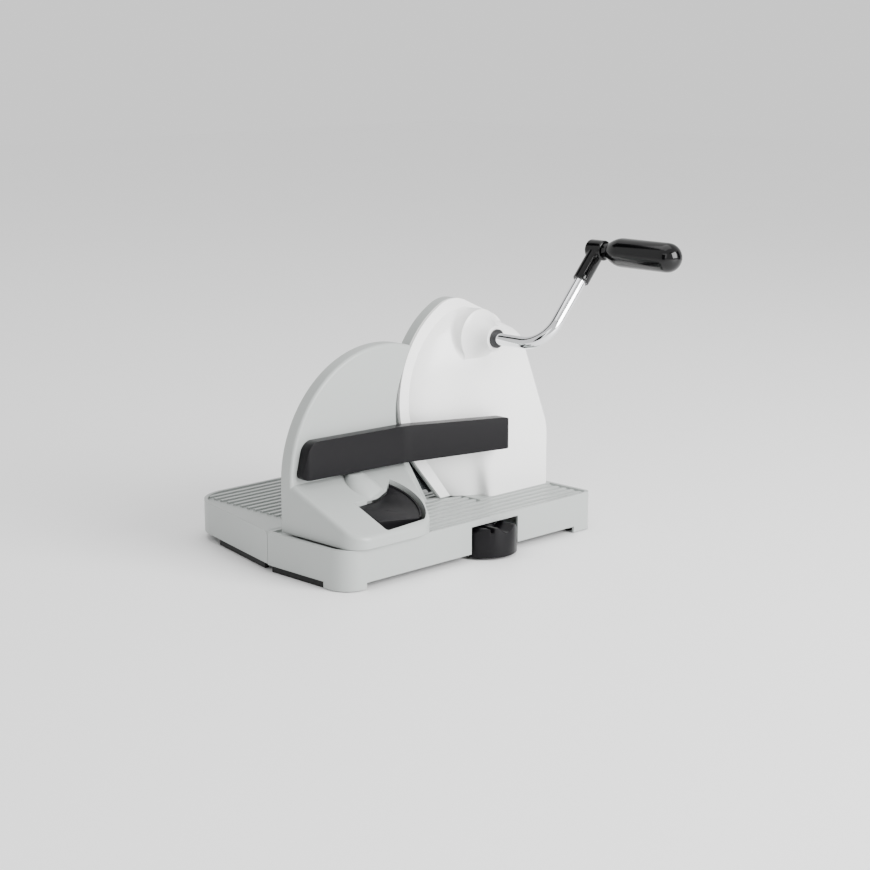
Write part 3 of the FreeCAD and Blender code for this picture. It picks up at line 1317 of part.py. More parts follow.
# ---------------------------------------------------------------- thickness lever


def make_lever():
    """A flat wedge under the foot's slope, with a raised rim along its round edge."""
    low = n.pocket_floor + 0.4
    radius = n.lever_radius
    middle = Vector(n.pivot_x, n.pivot_y, 0.0)
    plan = pivot_plan([(-24.3, -25.0, 2.0), (radius * 0.72, -36.0, 0.0), (radius * 1.2, -30.0, 0.0),
                       (radius * 1.2, 24.0, 0.0), (radius * 0.97, 30.5, 0.0), (24.2, 13.6, 0.0),
                       (3.4, 5.4, 18.0), (-n.lever_left, 3.2, 2.0)])
    edge = Part.makeCylinder(radius, 100.0, Vector(middle.x, middle.y, low))
    wedge = column(plan, low, 120.0).common(edge)
    hub = Part.makeCylinder(12.0, 17.0, Vector(middle.x, middle.y, low))
    inner = Part.makeCylinder(radius - 2.5, 100.0, Vector(middle.x, middle.y, low))
    rim = wedge.cut(inner).cut(above_slope(n.lever_rim))
    lever = wedge.cut(above_slope(n.lever_sink)).fuse([rim, hub])
    reach = cam_reach.number
    bores = [Part.makeCylinder(n.pivot_radius + n.run_clear, 14.4, Vector(middle.x, middle.y, low - 1.0)),
             Part.makeCylinder(n.cam_radius, 11.0,
                               turned_point(middle, reach, -n.lever_swing / 2, low - 1.0))]
    keep(solid("lever_shape", lever.cut(bores).removeSplitter()), "thickness_lever")
    cam = rod("cam_pin_rod", (cam_x, cam_y, deck_z - 6.0), s.cam_radius,
              s.pocket_floor + 10.0 - deck_z + 6.0)
    keep(cam, "cam_pin")
    pivot = rod("pivot_rod", (s.pivot_x, s.pivot_y, foot_under + 0.2), s.pivot_radius,
                s.pocket_floor + 13.0 - foot_under - 0.2)
    keep(pivot, "lever_pivot")


# ---------------------------------------------------------------- slice guard


def make_guard():
    """The dark bar across the stop plate, its free end turned out in front of the housing."""
    back, thick = plate_near.number, n.bar_thick
    turn = math.radians(n.bar_angle)
    left, bend = -plate_left.number + n.bar_end, bar_bend_x.number
    left_top = left + n.bar_end_lean
    tip = (bend + n.bar_reach * math.cos(turn), back - n.bar_reach * math.sin(turn))
    tip_front = (tip[0] - thick * math.sin(turn), tip[1] - thick * math.cos(turn))
    plan = [((left, back), 1.0), ((bend, back), 40.0), (tip, 5.0), (tip_front, 6.0),
            ((bend - thick * math.tan(turn / 2), back - thick), 54.0), ((left, back - thick), thick - 2.0)]
    low, high = n.bar_low, n.bar_low + n.bar_high
    side = [((left, low + 3.0), 6.0), ((bend, low), 60.0), ((tip[0], low + 4.5), 7.0),
            ((tip[0], high - 1.0), 12.0), ((bend, high), 60.0), ((left_top, high + 2.5), 16.0)]
    corners = [(Vector(x, -100.0, z), radius) for (x, z), radius in side]
    bar = column(plan, low - 10.0, high + 20.0).common(slab(rounded_path(corners), 200.0))
    bores = [drum(x, back - 11.0, z, 1.6, 12.0) for x, z in guard_screw_places()]
    keep(solid("guard_shape", bar.cut(bores)), "slice_guard")
    screws = [screw("guard_screw_%d" % i, (x, plate_near + s.wall + 1.8, z), 3.8, 1.8, 1.6, 14.0, "-Y")
              for i, (x, z) in enumerate(guard_screw_places(), start=1)]
    keep(group("guard_screw_set", screws), "guard_screws")


# ---------------------------------------------------------------- suction foot


def make_suction():
    x, y = n.drum_x, n.drum_y
    middle = Vector(x, y, 0.0)
    profile = [((-35.0, 3.0), 0.0), ((35.0, 3.0), 0.0), ((35.0, 18.0), 0.0), ((30.0, 22.0), 6.0),
               ((13.0, n.drum_top), 2.5), ((-1.0, n.drum_top - 11.0), 11.0),
               ((-13.0, n.drum_top - 1.0), 1.0), ((-17.0, n.drum_top - 1.0), 0.5),
               ((-18.0, n.drum_top - 7.0), 1.0), ((-21.0, n.drum_top - 7.0), 1.0),
               ((-22.0, n.drum_top - 1.5), 0.5), ((-27.0, n.drum_top - 1.5), 2.0),
               ((-35.0, n.drum_top - 8.0), 0.0)]
    corners = [(Vector(x + px, y - 40.0, z), radius) for (px, z), radius in profile]
    grip = slab(rounded_path(corners), 31.0)
    grip = grip.common(Part.makeCylinder(n.drum_radius, 50.0, Vector(x, y, 0.0)))
    ramp_low = n.ramp_z
    hub = Part.makeCylinder(11.0, n.drum_top - 2.5 - 6.0, Vector(x, y, 6.0))
    web = Part.makeBox(20.0, 12.0, n.drum_top - 14.0, Vector(x - 10.0, y - 12.0, 6.0))
    stem_way = math.degrees(math.atan2(-y, -x))
    reach = math.hypot(x, y)
    start, end = stem_way - n.suction_swing - 7.0, stem_way + 4.0
    arm = sector(middle, 0.0, reach - 6.0, start + 8.0, end - 6.0, ramp_low - 3.5, ramp_low - 0.5)
    lifter = lower_ramp(middle, reach, start, end, ramp_low, stem_way)
    lever = grip.fuse([hub, web, arm, lifter])
    lever = lever.cut(Part.makeCylinder(n.drum_pin_radius + n.run_clear, 60.0, Vector(x, y, -1.0)))
    keep(solid("suction_lever_shape", lever.removeSplitter()), "suction_lever")
    pin = lathe("drum_pin_body", [(0.0, 0.0), (6.0, 0.0), (6.0, 2.7), (s.drum_pin_radius, 2.7),
                                  (s.drum_pin_radius, deck_z - 3.9), (0.0, deck_z - 3.9)],
                (s.drum_x, s.drum_y, 3.0))
    keep(pin, "suction_lever_pin")


def lower_ramp(middle, reach, start, end, ramp_low, stem_way):
    """The lever's lifting ring: its top climbs from the stem's place by the suction lift."""
    steps = 8
    outer, inner = reach + 9.5, reach - 9.5
    climb = n.suction_lift / n.suction_swing
    blocks = []
    for i in range(steps):
        a = start + (end - start) * i / steps
        b = start + (end - start) * (i + 1) / steps
        top = ramp_low + min(n.suction_lift, max(0.0, (stem_way - b) * climb))
        blocks.append(sector(middle, inner, outer, a, b + 0.2, ramp_low - 3.5, top))
    ring_part = blocks[0].multiFuse(blocks[1:])
    gap = n.stem_radius + 0.6
    slot = sector(middle, reach - gap, reach + gap, stem_way - n.suction_swing - 0.1, end + 3.0,
                  ramp_low - 6.0, ramp_low + n.suction_lift + 2.0)
    end_round = Part.makeCylinder(gap, 20.0, turned_point(middle, reach, stem_way - n.suction_swing,
                                                          ramp_low - 6.0))
    return ring_part.cut(slot.fuse(end_round))


# ---------------------------------------------------------------- build and write

make_base()
make_feet("base_feet", foot_places_base())
make_table()
make_feet("table_feet", foot_places_table())
make_end_strips()
make_hinge_pins()
make_cover()
make_blade_frame()
make_blade()
make_gears()
make_blade_parts()
make_housing_screws()
make_crank()
make_stop_plate()
make_guides()
make_lever()
make_guard()
make_stem_parts()
make_suction()

doc.recompute()
bad = [thing.Name for thing in doc.Objects if "Invalid" in thing.State or "Error" in thing.State]
if bad:
    raise RuntimeError("objects that failed: %s" % ", ".join(bad))
os.makedirs("parts", exist_ok=True)
for piece in pieces:
    shape = piece.Shape
    if shape.isNull() or not shape.isValid():
        raise RuntimeError("bad shape: " + piece.Label)
    shape.exportStep("parts/%s.step" % piece.Label)
    print("%-18s %d solids %10.1f mm3" % (piece.Label, len(shape.Solids), shape.Volume))
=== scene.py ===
"""Hand cranked bread slicer: finishes, softened and turned pieces, studio stage and camera.

Laid out as an add-on: one operator for each group of pieces. Metres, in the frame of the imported
model: +X to the right along the base, +Y away from the crank's side, +Z up.
"""
import json
import math

import bpy
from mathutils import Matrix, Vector


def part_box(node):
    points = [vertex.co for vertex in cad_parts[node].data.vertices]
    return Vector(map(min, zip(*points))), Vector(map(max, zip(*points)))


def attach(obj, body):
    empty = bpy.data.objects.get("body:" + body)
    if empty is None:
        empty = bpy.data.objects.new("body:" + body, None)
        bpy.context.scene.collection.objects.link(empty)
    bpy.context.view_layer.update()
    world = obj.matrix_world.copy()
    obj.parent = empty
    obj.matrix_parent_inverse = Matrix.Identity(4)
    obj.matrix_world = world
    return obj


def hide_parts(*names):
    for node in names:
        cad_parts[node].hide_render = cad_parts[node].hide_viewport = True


bl_info = {
    "name": "Bread slicer dressing",
    "version": (1, 0, 0),
    "blender": (4, 5, 0),
    "location": "3D View > Sidebar > Slicer",
    "description": "Finishes, turned pieces and a studio stage for a hand cranked bread slicer",
    "category": "Object",
}

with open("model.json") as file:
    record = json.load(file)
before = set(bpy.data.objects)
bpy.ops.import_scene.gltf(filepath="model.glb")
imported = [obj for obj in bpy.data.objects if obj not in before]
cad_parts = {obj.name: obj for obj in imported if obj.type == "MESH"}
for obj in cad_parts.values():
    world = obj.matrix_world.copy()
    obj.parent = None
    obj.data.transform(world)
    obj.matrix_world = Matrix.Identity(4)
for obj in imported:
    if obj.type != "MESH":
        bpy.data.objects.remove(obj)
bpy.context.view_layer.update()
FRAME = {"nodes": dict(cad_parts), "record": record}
MM = 0.001

# Sizes of the patterns in the finishes.
TINT_PATCH = 60 * MM    # soft patches of tone in moulded plastic
FLOW_PATCH = 25 * MM    # uneven gloss where the melt flowed
FLOOR_PATCH = 500 * MM
CLOTH_PATCH = 200 * MM
RING_PITCH = 6 * MM     # grinding rings on the blade
PIT_DEPTH = 0.1 * MM    # eroded mould texture
HAIR_DEPTH = 0.05 * MM  # scratches in metal
EDGE_SAMPLES = 6

WELD_GAP = 0.005 * MM   # points nearer than this are one
FLAT_ANGLE = 1.0        # degrees between triangles of one flat face
SMOOTH_ANGLE = 40.0     # degrees, softened pieces
TURNED_ANGLE = 35.0     # degrees, turned pieces

KNOB_NECK = 0.55        # the knob's neck, as a share of its barrel
NECK_LENGTH = 5.0 * MM
FLARE_LENGTH = 21.0 * MM

CAMERA_PLACE = Vector((-1.5398, -1.5567, 0.6082))
CAMERA_TARGET = Vector((0.0289, 0.0299, 0.1242))
CAMERA_LENS = 82.43
CAMERA_SENSOR = 36.0
FLOOR_SIDE = 12.0
WORLD_LIGHT = 1.05
# Name, place, side and power: the crank's side is the bright one, deck and left ends are darker.
SOFT_BOXES = [("key_light", (0.6, -2.6, 1.3), 1.8, 165.0),
              ("left_light", (-2.2, -0.8, 1.2), 1.6, 14.0),
              ("top_light", (0.1, 0.3, 2.6), 2.2, 24.0)]
# Name, place, width and height.
FLAGS = [("flag_left", (-2.3, -0.5, 0.7), (1.1, 1.9)),
         ("flag_right", (1.8, -1.5, 0.7), (0.9, 1.7)),
         ("flag_back", (-0.4, 1.35, 1.65), (0.8, 0.9)),
         ("flag_high", (-0.4, -2.3, 2.4), (1.6, 0.3))]

FINISHES = {}


# ---------------------------------------------------------------- sizes and colours


class SlicerSizes(bpy.types.PropertyGroup):
    """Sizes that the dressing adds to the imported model."""

    edge_round: bpy.props.FloatProperty(
        name="Edge rounding", description="Rounding that shows on moulded edges",
        default=0.8 * MM, unit="LENGTH")
    guard_round: bpy.props.FloatProperty(
        name="Guard rounding", description="Rounding of the slice guard's long edges",
        default=3.2 * MM, unit="LENGTH")
    grip_round: bpy.props.FloatProperty(
        name="Grip rounding", description="Rounding of the suction lever's edges",
        default=1.6 * MM, unit="LENGTH")
    lever_round: bpy.props.FloatProperty(
        name="Lever rounding", description="Rounding of the thickness lever and the crank socket",
        default=0.7 * MM, unit="LENGTH")
    turned_steps: bpy.props.IntProperty(
        name="Turned steps", description="Sides round a turned piece", default=64)


class SlicerColours(bpy.types.PropertyGroup):
    """Colours of the moulded and metal finishes."""

    light_grey: bpy.props.StringProperty(
        name="Light grey", description="Base, table and stop plate", default="#A6AAA8")
    white: bpy.props.StringProperty(
        name="White", description="Housing", default="#FAFAF9")
    charcoal: bpy.props.StringProperty(
        name="Charcoal", description="Slice guard and levers", default="#0B0A0D")
    black: bpy.props.StringProperty(
        name="Black", description="Crank knob", default="#040405")
    dull_black: bpy.props.StringProperty(
        name="Dull black", description="Bushes and clips", default="#161618")
    natural: bpy.props.StringProperty(
        name="Natural", description="Unpigmented gears", default="#E9E6DC")
    # The feet and suction cup are real rubber; the black end strips behind the skirts are painted
    # shade for the gap under the base.
    rubber: bpy.props.StringProperty(
        name="Rubber", description="Feet, end strips and suction cup", default="#121212")
    chrome: bpy.props.StringProperty(
        name="Chrome", description="Plated crank rod", default="#E8E9EB")
    zinc: bpy.props.StringProperty(
        name="Zinc", description="Plated screws and pins", default="#A9ACAE")
    floor: bpy.props.StringProperty(
        name="Floor", description="Pale studio floor", default="#FCFCFC")
    cloth: bpy.props.StringProperty(
        name="Cloth", description="Black cloth of the studio flags", default="#050505")
    # Darker than bare stainless: painted shade for the dark gap between the stop plate and the
    # housing.
    blade_steel: bpy.props.StringProperty(
        name="Blade steel", description="Ground stainless steel", default="#6A6D70")


# ---------------------------------------------------------------- materials


def linear(hex_colour):
    """A linear RGBA colour from an sRGB hex value."""
    channels = [int(hex_colour[i:i + 2], 16) / 255 for i in (1, 3, 5)]
    return [c / 12.92 if c <= 0.04045 else ((c + 0.055) / 1.055) ** 2.4 for c in channels] + [1.0]


def add_node(tree, kind, settings=None, inputs=None):
    """Adds a node; an input is a value, or a (node, output name) pair to link from."""
    node = tree.nodes.new(kind)
    for name, value in (settings or {}).items():
        setattr(node, name, value)
    for name, value in (inputs or {}).items():
        if isinstance(value, tuple) and len(value) == 2 and isinstance(value[0], bpy.types.Node):
            tree.links.new(value[0].outputs[value[1]], node.inputs[name])
        else:
            node.inputs[name].default_value = value
    return node


def new_material(name):
    """An empty material with its output and its object coordinates."""
    material = bpy.data.materials.new(name)
    material.use_nodes = True
    tree = material.node_tree
    tree.nodes.clear()
    place = add_node(tree, "ShaderNodeTexCoord")
    output = add_node(tree, "ShaderNodeOutputMaterial")
    return material, tree, (place, "Object"), output


def tinted(tree, vector, hex_colour, patch, spread):
    """The colour with soft lighter and darker patches of a given size in metres."""
    noise = add_node(tree, "ShaderNodeTexNoise", inputs={
        "Vector": vector, "Scale": 1.0 / patch, "Detail": 3.0, "Roughness": 0.5})
    low = [c * (1.0 - spread) for c in linear(hex_colour)[:3]] + [1.0]
    high = [min(1.0, c * (1.0 + spread)) for c in linear(hex_colour)[:3]] + [1.0]
    ramp = add_node(tree, "ShaderNodeMix", {"data_type": "RGBA"}, {"Factor": (noise, "Fac")})
    ramp.inputs[6].default_value = low
    ramp.inputs[7].default_value = high
    return ramp, 2


def moulded(name, hex_colour, roughness, grain, grain_depth, gloss=0.5, spread=0.02):
    """Injection moulded plastic: a fine eroded grain, rounded edges, a faint uneven gloss."""
    sizes = bpy.context.scene.slicer_sizes
    material, tree, vector, output = new_material(name)
    colour = tinted(tree, vector, hex_colour, TINT_PATCH, spread)
    flow = add_node(tree, "ShaderNodeTexNoise", inputs={
        "Vector": vector, "Scale": 1.0 / FLOW_PATCH, "Detail": 4.0})
    sheen = add_node(tree, "ShaderNodeMapRange", inputs={
        "Value": (flow, "Fac"), "To Min": roughness - 0.05, "To Max": roughness + 0.05})
    pits = add_node(tree, "ShaderNodeTexNoise", inputs={
        "Vector": vector, "Scale": 1.0 / grain, "Detail": 2.0})
    edges = add_node(tree, "ShaderNodeBevel", {"samples": EDGE_SAMPLES},
                     {"Radius": sizes.edge_round})
    bump = add_node(tree, "ShaderNodeBump", inputs={
        "Height": (pits, "Fac"), "Strength": grain_depth, "Distance": PIT_DEPTH,
        "Normal": (edges, "Normal")})
    shader = add_node(tree, "ShaderNodeBsdfPrincipled", inputs={
        "Roughness": (sheen, "Result"), "IOR": 1.53, "Specular IOR Level": gloss,
        "Normal": (bump, "Normal")})
    tree.links.new(colour[0].outputs[colour[1]], shader.inputs["Base Color"])
    tree.links.new(shader.outputs["BSDF"], output.inputs["Surface"])
    return material


def plated(name, hex_colour, roughness, scratch, depth):
    """A bare or plated metal with hair scratches of a given spacing in metres."""
    sizes = bpy.context.scene.slicer_sizes
    material, tree, vector, output = new_material(name)
    stretch = add_node(tree, "ShaderNodeMapping", inputs={
        "Vector": vector, "Scale": (1.0, 0.12, 1.0)})
    hairs = add_node(tree, "ShaderNodeTexNoise", inputs={
        "Vector": (stretch, "Vector"), "Scale": 1.0 / scratch, "Detail": 5.0})
    wear = add_node(tree, "ShaderNodeMapRange", inputs={
        "Value": (hairs, "Fac"), "To Min": roughness * 0.7, "To Max": roughness * 1.4})
    edges = add_node(tree, "ShaderNodeBevel", {"samples": EDGE_SAMPLES},
                     {"Radius": sizes.edge_round / 2})
    bump = add_node(tree, "ShaderNodeBump", inputs={
        "Height": (hairs, "Fac"), "Strength": depth, "Distance": HAIR_DEPTH,
        "Normal": (edges, "Normal")})
    shader = add_node(tree, "ShaderNodeBsdfPrincipled", inputs={
        "Base Color": linear(hex_colour), "Metallic": 1.0, "Roughness": (wear, "Result"),
        "Normal": (bump, "Normal")})
    tree.links.new(shader.outputs["BSDF"], output.inputs["Surface"])
    return material


def ground_blade():
    """Stainless sheet ground in rings: fine circular lines about the blade's axis, on a steel
    colour darkened as painted shade.
    """
    low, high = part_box("blade")
    middle = (Vector(low) + Vector(high)) / 2
    material, tree, vector, output = new_material("ground_steel_darkened_as_shade")
    centred = add_node(tree, "ShaderNodeMapping", {"vector_type": "POINT"},
                       {"Vector": vector, "Location": tuple(-middle)})
    rings = add_node(tree, "ShaderNodeTexWave",
                     {"wave_type": "RINGS", "rings_direction": "Y", "wave_profile": "SAW"},
                     {"Vector": (centred, "Vector"), "Scale": 1.0 / RING_PITCH, "Distortion": 1.5,
                      "Detail": 4.0, "Detail Scale": 3.0})
    wear = add_node(tree, "ShaderNodeMapRange", inputs={
        "Value": (rings, "Fac"), "To Min": 0.2, "To Max": 0.34})
    bump = add_node(tree, "ShaderNodeBump", inputs={
        "Height": (rings, "Fac"), "Strength": 0.12, "Distance": HAIR_DEPTH})
    shader = add_node(tree, "ShaderNodeBsdfPrincipled", inputs={
        "Base Color": linear(bpy.context.scene.slicer_colours.blade_steel), "Metallic": 1.0,
        "Roughness": (wear, "Result"), "Anisotropic": 0.4,
        "Normal": (bump, "Normal")})
    tree.links.new(shader.outputs["BSDF"], output.inputs["Surface"])
    return material


def make_finishes():
    """Every finish, by the name of the material slot it dresses."""
    colours = bpy.context.scene.slicer_colours
    return {
        # Moulded ABS in light grey: satin, a fine eroded texture that spreads the highlight.
        "light_grey_plastic": moulded("moulded_abs_light_grey", colours.light_grey, 0.36,
                                      0.6 * MM, 0.10),
        # Polished-mould ABS in white: smoother and glossier than the base.
        "white_plastic": moulded("polished_abs_white", colours.white, 0.24, 1.5 * MM, 0.03),
        # Glass-filled nylon in charcoal: satin, a slightly coarser grain.
        "charcoal_plastic": moulded("glass_filled_nylon_charcoal", colours.charcoal, 0.34,
                                    0.7 * MM, 0.18, gloss=0.16, spread=0.06),
        # Acetal and nylon in black: dry and matte, for bushes and clips.
        "dark_plastic": moulded("acetal_black", colours.dull_black, 0.42, 0.5 * MM, 0.12,
                                spread=0.08),
        # Phenolic resin in black: hard and glossy, polished by the hand.
        "black_gloss_plastic": moulded("phenolic_gloss_black", colours.black, 0.13, 4.0 * MM,
                                       0.02, gloss=0.32, spread=0.1),
        # Natural acetal: waxy off-white.
        "gear_plastic": moulded("acetal_natural", colours.natural, 0.4, 0.5 * MM, 0.08),
        # Bright chrome plate on a bent steel rod.
        "chrome": plated("bright_chrome_plate", colours.chrome, 0.07, 3.0 * MM, 0.03),
        # Zinc plated steel: dull silver, for screws and pins.
        "steel": plated("zinc_plated_steel", colours.zinc, 0.32, 0.8 * MM, 0.15),
        "blade_steel": ground_blade(),
        # Nitrile rubber: black, dull. On the end strips behind the skirts its black is painted
        # shade for the gap under the base.
        "rubber": moulded("nitrile_rubber_and_painted_shade", colours.rubber, 0.62, 0.4 * MM, 0.3, gloss=0.3,
                          spread=0.1),
    }


def dress(obj, material):
    """Gives a new piece its finish."""
    obj.data.materials.clear()
    obj.data.materials.append(material)


# ---------------------------------------------------------------- modelling helpers


def select_only(*objs):
    """Deselects everything, then selects these, the last one active."""
    bpy.ops.object.select_all(action="DESELECT")
    for obj in objs:
        obj.select_set(True)
    bpy.context.view_layer.objects.active = objs[-1]


def merged_copy(node, name):
    """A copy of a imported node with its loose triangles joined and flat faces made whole."""
    source = FRAME["nodes"][node]
    piece = bpy.data.objects.new(name, source.data.copy())
    bpy.context.scene.collection.objects.link(piece)
    select_only(piece)
    bpy.ops.object.mode_set(mode="EDIT")
    bpy.ops.mesh.select_all(action="SELECT")
    bpy.ops.mesh.remove_doubles(threshold=WELD_GAP)
    bpy.ops.mesh.customdata_custom_splitnormals_clear()
    bpy.ops.mesh.dissolve_limited(angle_limit=math.radians(FLAT_ANGLE))
    bpy.ops.object.mode_set(mode="OBJECT")
    return piece


def soften(piece, width, segments, angle):
    """Rounds a piece's sharp edges with an applied bevel and shades it smooth."""
    bevel = piece.modifiers.new("round", "BEVEL")
    bevel.width = width
    bevel.segments = segments
    bevel.limit_method = "ANGLE"
    bevel.angle_limit = math.radians(angle)
    select_only(piece)
    bpy.ops.object.modifier_apply(modifier=bevel.name)
    bpy.ops.object.shade_smooth_by_angle(angle=math.radians(SMOOTH_ANGLE))


def softened_node(node, name, width, segments, angle, finish):
    """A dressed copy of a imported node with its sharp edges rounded."""
    piece = merged_copy(node, name)
    soften(piece, width, segments, angle)
    dress(piece, FINISHES[finish])
    return piece


def turned_piece(name, middle, along, profile):
    """A turned solid: a round face drawn out and resized ring by ring along an axis.

    The profile is (distance along the axis, radius); a radius of 0 closes the end.
    """
    steps = bpy.context.scene.slicer_sizes.turned_steps
    along = Vector(along).normalized()
    turn = Vector((0, 0, 1)).rotation_difference(along).to_euler()
    start, radius = profile[0]
    bpy.ops.object.select_all(action="DESELECT")
    bpy.ops.mesh.primitive_circle_add(vertices=steps, radius=radius, fill_type="NGON",
                                      location=Vector(middle) + along * start, rotation=turn)
    piece = bpy.context.object
    piece.name = name
    bpy.ops.object.transform_apply(location=True, rotation=True, scale=True)
    bpy.ops.object.mode_set(mode="EDIT")
    bpy.ops.mesh.select_all(action="SELECT")
    for (before, from_radius), (after, to_radius) in zip(profile, profile[1:]):
        bpy.ops.mesh.extrude_region_move(
            TRANSFORM_OT_translate={"value": along * (after - before)})
        scale = to_radius / from_radius
        bpy.ops.transform.resize(value=(scale, scale, scale),
                                 center_override=Vector(middle) + along * after)
    bpy.ops.mesh.select_all(action="SELECT")
    bpy.ops.mesh.normals_make_consistent(inside=False)
    bpy.ops.object.mode_set(mode="OBJECT")
    bpy.ops.object.shade_smooth_by_angle(angle=math.radians(TURNED_ANGLE))
    return piece


# ---------------------------------------------------------------- operators


class SLICER_OT_finishes(bpy.types.Operator):
    """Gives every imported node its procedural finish"""

    bl_idname = "slicer.finishes"
    bl_label = "Finish the packed parts"

    def execute(self, context):
        FINISHES.update(make_finishes())
        for entry in FRAME["record"]["subparts"]:
            obj = FRAME["nodes"][entry["node"]]
            obj.data.materials.clear()
            obj.data.materials.append(FINISHES[entry["material_slot"]])
        return {"FINISHED"}


class SLICER_OT_guard(bpy.types.Operator):
    """Slice guard with fully rounded long edges"""

    bl_idname = "slicer.guard"
    bl_label = "Slice guard"

    def execute(self, context):
        width = context.scene.slicer_sizes.guard_round
        guard = softened_node("slice_guard", "slice_guard_bar", width, 5, 28.0,
                              "charcoal_plastic")
        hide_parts("slice_guard")
        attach(guard, "stop")
        return {"FINISHED"}


class SLICER_OT_grip(bpy.types.Operator):
    """Suction lever with rounded edges"""

    bl_idname = "slicer.grip"
    bl_label = "Suction lever"

    def execute(self, context):
        width = context.scene.slicer_sizes.grip_round
        grip = softened_node("suction_lever", "suction_lever_grip", width, 3, 30.0,
                             "charcoal_plastic")
        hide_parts("suction_lever")
        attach(grip, "suction_grip")
        return {"FINISHED"}


class SLICER_OT_thickness(bpy.types.Operator):
    """Thickness lever with rounded edges and a soft rim"""

    bl_idname = "slicer.thickness"
    bl_label = "Thickness lever"

    def execute(self, context):
        width = context.scene.slicer_sizes.lever_round
        lever = softened_node("thickness_lever", "thickness_lever_moulded", width, 3, 30.0,
                              "charcoal_plastic")
        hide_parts("thickness_lever")
        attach(lever, "lever")
        return {"FINISHED"}


class SLICER_OT_socket(bpy.types.Operator):
    """Crank socket with rounded rims"""

    bl_idname = "slicer.socket"
    bl_label = "Crank socket"

    def execute(self, context):
        width = context.scene.slicer_sizes.lever_round
        socket = softened_node("crank_socket", "crank_socket_moulded", width, 3, 30.0,
                               "black_gloss_plastic")
        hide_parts("crank_socket")
        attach(socket, "crank")
        return {"FINISHED"}


class SLICER_OT_knob(bpy.types.Operator):
    """Crank knob: neck, flare, long barrel and round end"""

    bl_idname = "slicer.knob"
    bl_label = "Crank knob"

    def execute(self, context):
        low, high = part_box("crank_knob")
        low, high = Vector(low), Vector(high)
        middle = (low + high) / 2
        barrel = (high.x - low.x) / 2
        length = high.y - low.y
        neck = barrel * KNOB_NECK
        profile = [(0.0, neck * 0.9), (0.6 * MM, neck), (NECK_LENGTH, neck)]
        flare = [(NECK_LENGTH + FLARE_LENGTH * t,
                  neck + (barrel - neck) * math.sin(t * math.pi / 2))
                 for t in (0.2, 0.4, 0.6, 0.8, 1.0)]
        cap_start = length - barrel
        cap = [(cap_start + barrel * math.sin(math.radians(a)), barrel * math.cos(math.radians(a)))
               for a in range(0, 90, 9)]
        profile += flare + cap + [(length, barrel * 0.04)]
        knob = turned_piece("crank_knob_turned", (middle.x, high.y, middle.z), (0, -1, 0), profile)
        dress(knob, FINISHES["black_gloss_plastic"])
        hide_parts("crank_knob")
        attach(knob, "knob")
        return {"FINISHED"}


class SLICER_OT_stage(bpy.types.Operator):
    """Pale floor, soft studio light and the camera"""

    bl_idname = "slicer.stage"
    bl_label = "Stage, light and camera"

    def execute(self, context):
        scene = context.scene
        bpy.ops.object.select_all(action="DESELECT")
        bpy.ops.mesh.primitive_plane_add(size=FLOOR_SIDE, location=(0, 0, 0))
        floor = context.object
        floor.name = "studio_floor"
        floor.data.materials.append(pale_floor())
        for light in SOFT_BOXES:
            soft_box(*light)
        cloth = flag_cloth()
        for card in FLAGS:
            flag(*card, cloth)
        world = bpy.data.worlds.new("studio_world")
        scene.world = world
        world.use_nodes = True
        world.node_tree.nodes["Background"].inputs["Color"].default_value = (1.0, 1.0, 1.0, 1.0)
        world.node_tree.nodes["Background"].inputs["Strength"].default_value = WORLD_LIGHT
        camera_data = bpy.data.cameras.new("camera")
        camera_data.lens = CAMERA_LENS
        camera_data.sensor_width = CAMERA_SENSOR
        camera = bpy.data.objects.new("camera", camera_data)
        scene.collection.objects.link(camera)
        camera.location = CAMERA_PLACE
        camera.rotation_euler = (CAMERA_TARGET - CAMERA_PLACE).to_track_quat("-Z", "Y").to_euler()
        scene.camera = camera
        return {"FINISHED"}


def pale_floor():
    """A matte pale floor with a barely uneven tone."""
    material, tree, vector, output = new_material("pale_matte_floor")
    colour = tinted(tree, vector, bpy.context.scene.slicer_colours.floor, FLOOR_PATCH, 0.01)
    shader = add_node(tree, "ShaderNodeBsdfPrincipled", inputs={"Roughness": 0.5})
    tree.links.new(colour[0].outputs[colour[1]], shader.inputs["Base Color"])
    tree.links.new(shader.outputs["BSDF"], output.inputs["Surface"])
    return material


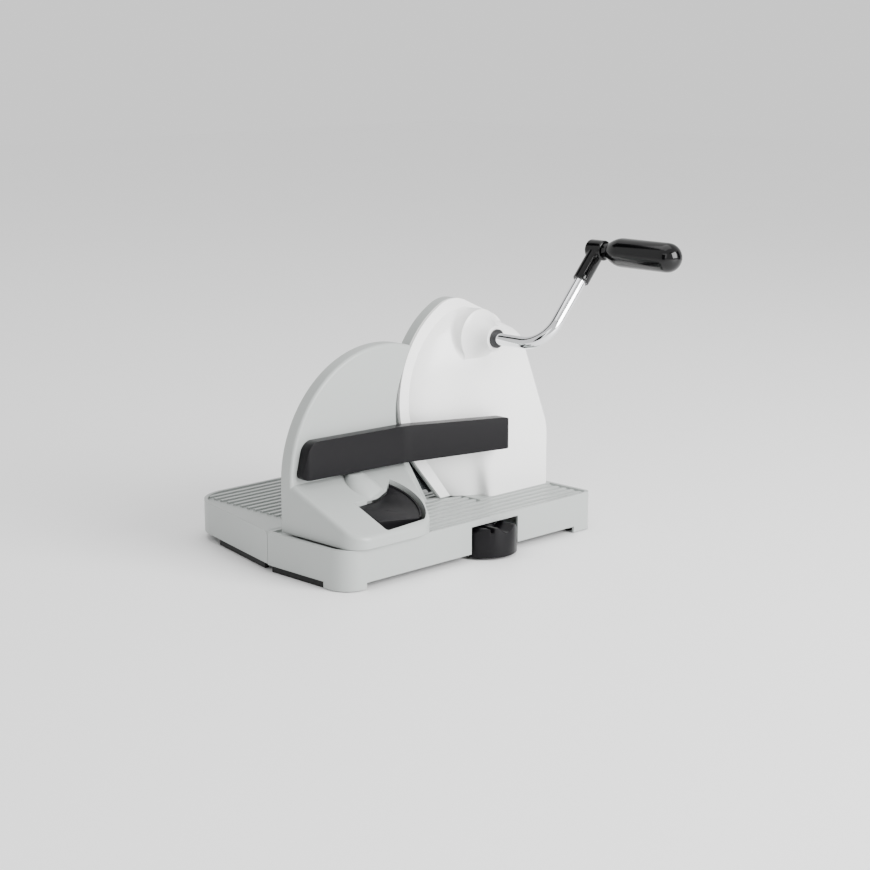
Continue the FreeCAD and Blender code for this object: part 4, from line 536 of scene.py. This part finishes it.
def flag(name, place, size, cloth):
    """A black studio flag out of shot, aimed at the slicer, for dark lines in bright metal."""
    aim = (CAMERA_TARGET - Vector(place)).to_track_quat("-Z", "Y").to_euler()
    bpy.ops.object.select_all(action="DESELECT")
    bpy.ops.mesh.primitive_plane_add(size=1.0, location=place, rotation=aim)
    card = bpy.context.object
    card.name = name
    bpy.ops.transform.resize(value=(size[0], size[1], 1.0), orient_type="LOCAL")
    bpy.ops.object.transform_apply(location=True, rotation=True, scale=True)
    card.data.materials.append(cloth)
    card.visible_camera = False


def flag_cloth():
    """Black cloth, wholly matte."""
    material, tree, vector, output = new_material("black_flag_cloth")
    colour = tinted(tree, vector, bpy.context.scene.slicer_colours.cloth, CLOTH_PATCH, 0.1)
    shader = add_node(tree, "ShaderNodeBsdfPrincipled", inputs={"Roughness": 0.95})
    tree.links.new(colour[0].outputs[colour[1]], shader.inputs["Base Color"])
    tree.links.new(shader.outputs["BSDF"], output.inputs["Surface"])
    return material


def soft_box(name, place, size, power):
    """A square area light aimed at the slicer."""
    data = bpy.data.lights.new(name, "AREA")
    data.size = size
    data.energy = power
    light = bpy.data.objects.new(name, data)
    bpy.context.scene.collection.objects.link(light)
    light.location = place
    light.rotation_euler = (CAMERA_TARGET - Vector(place)).to_track_quat("-Z", "Y").to_euler()


class SLICER_PT_panel(bpy.types.Panel):
    """Sidebar panel that lists the dressing steps"""

    bl_label = "Bread slicer"
    bl_idname = "SLICER_PT_panel"
    bl_space_type = "VIEW_3D"
    bl_region_type = "UI"
    bl_category = "Slicer"

    def draw(self, context):
        for step in STEPS:
            self.layout.operator(step.bl_idname)


STEPS = [SLICER_OT_finishes, SLICER_OT_guard, SLICER_OT_grip, SLICER_OT_thickness,
         SLICER_OT_socket, SLICER_OT_knob, SLICER_OT_stage]
GROUPS = [SlicerSizes, SlicerColours]


def register():
    for cls in GROUPS + STEPS + [SLICER_PT_panel]:
        bpy.utils.register_class(cls)
    bpy.types.Scene.slicer_sizes = bpy.props.PointerProperty(type=SlicerSizes)
    bpy.types.Scene.slicer_colours = bpy.props.PointerProperty(type=SlicerColours)


def unregister():
    del bpy.types.Scene.slicer_colours
    del bpy.types.Scene.slicer_sizes
    for cls in reversed(GROUPS + STEPS + [SLICER_PT_panel]):
        bpy.utils.unregister_class(cls)


def main():
    register()
    for step in STEPS:
        group, name = step.bl_idname.split(".")
        getattr(getattr(bpy.ops, group), name)()


if __name__ == "__main__":
    main()
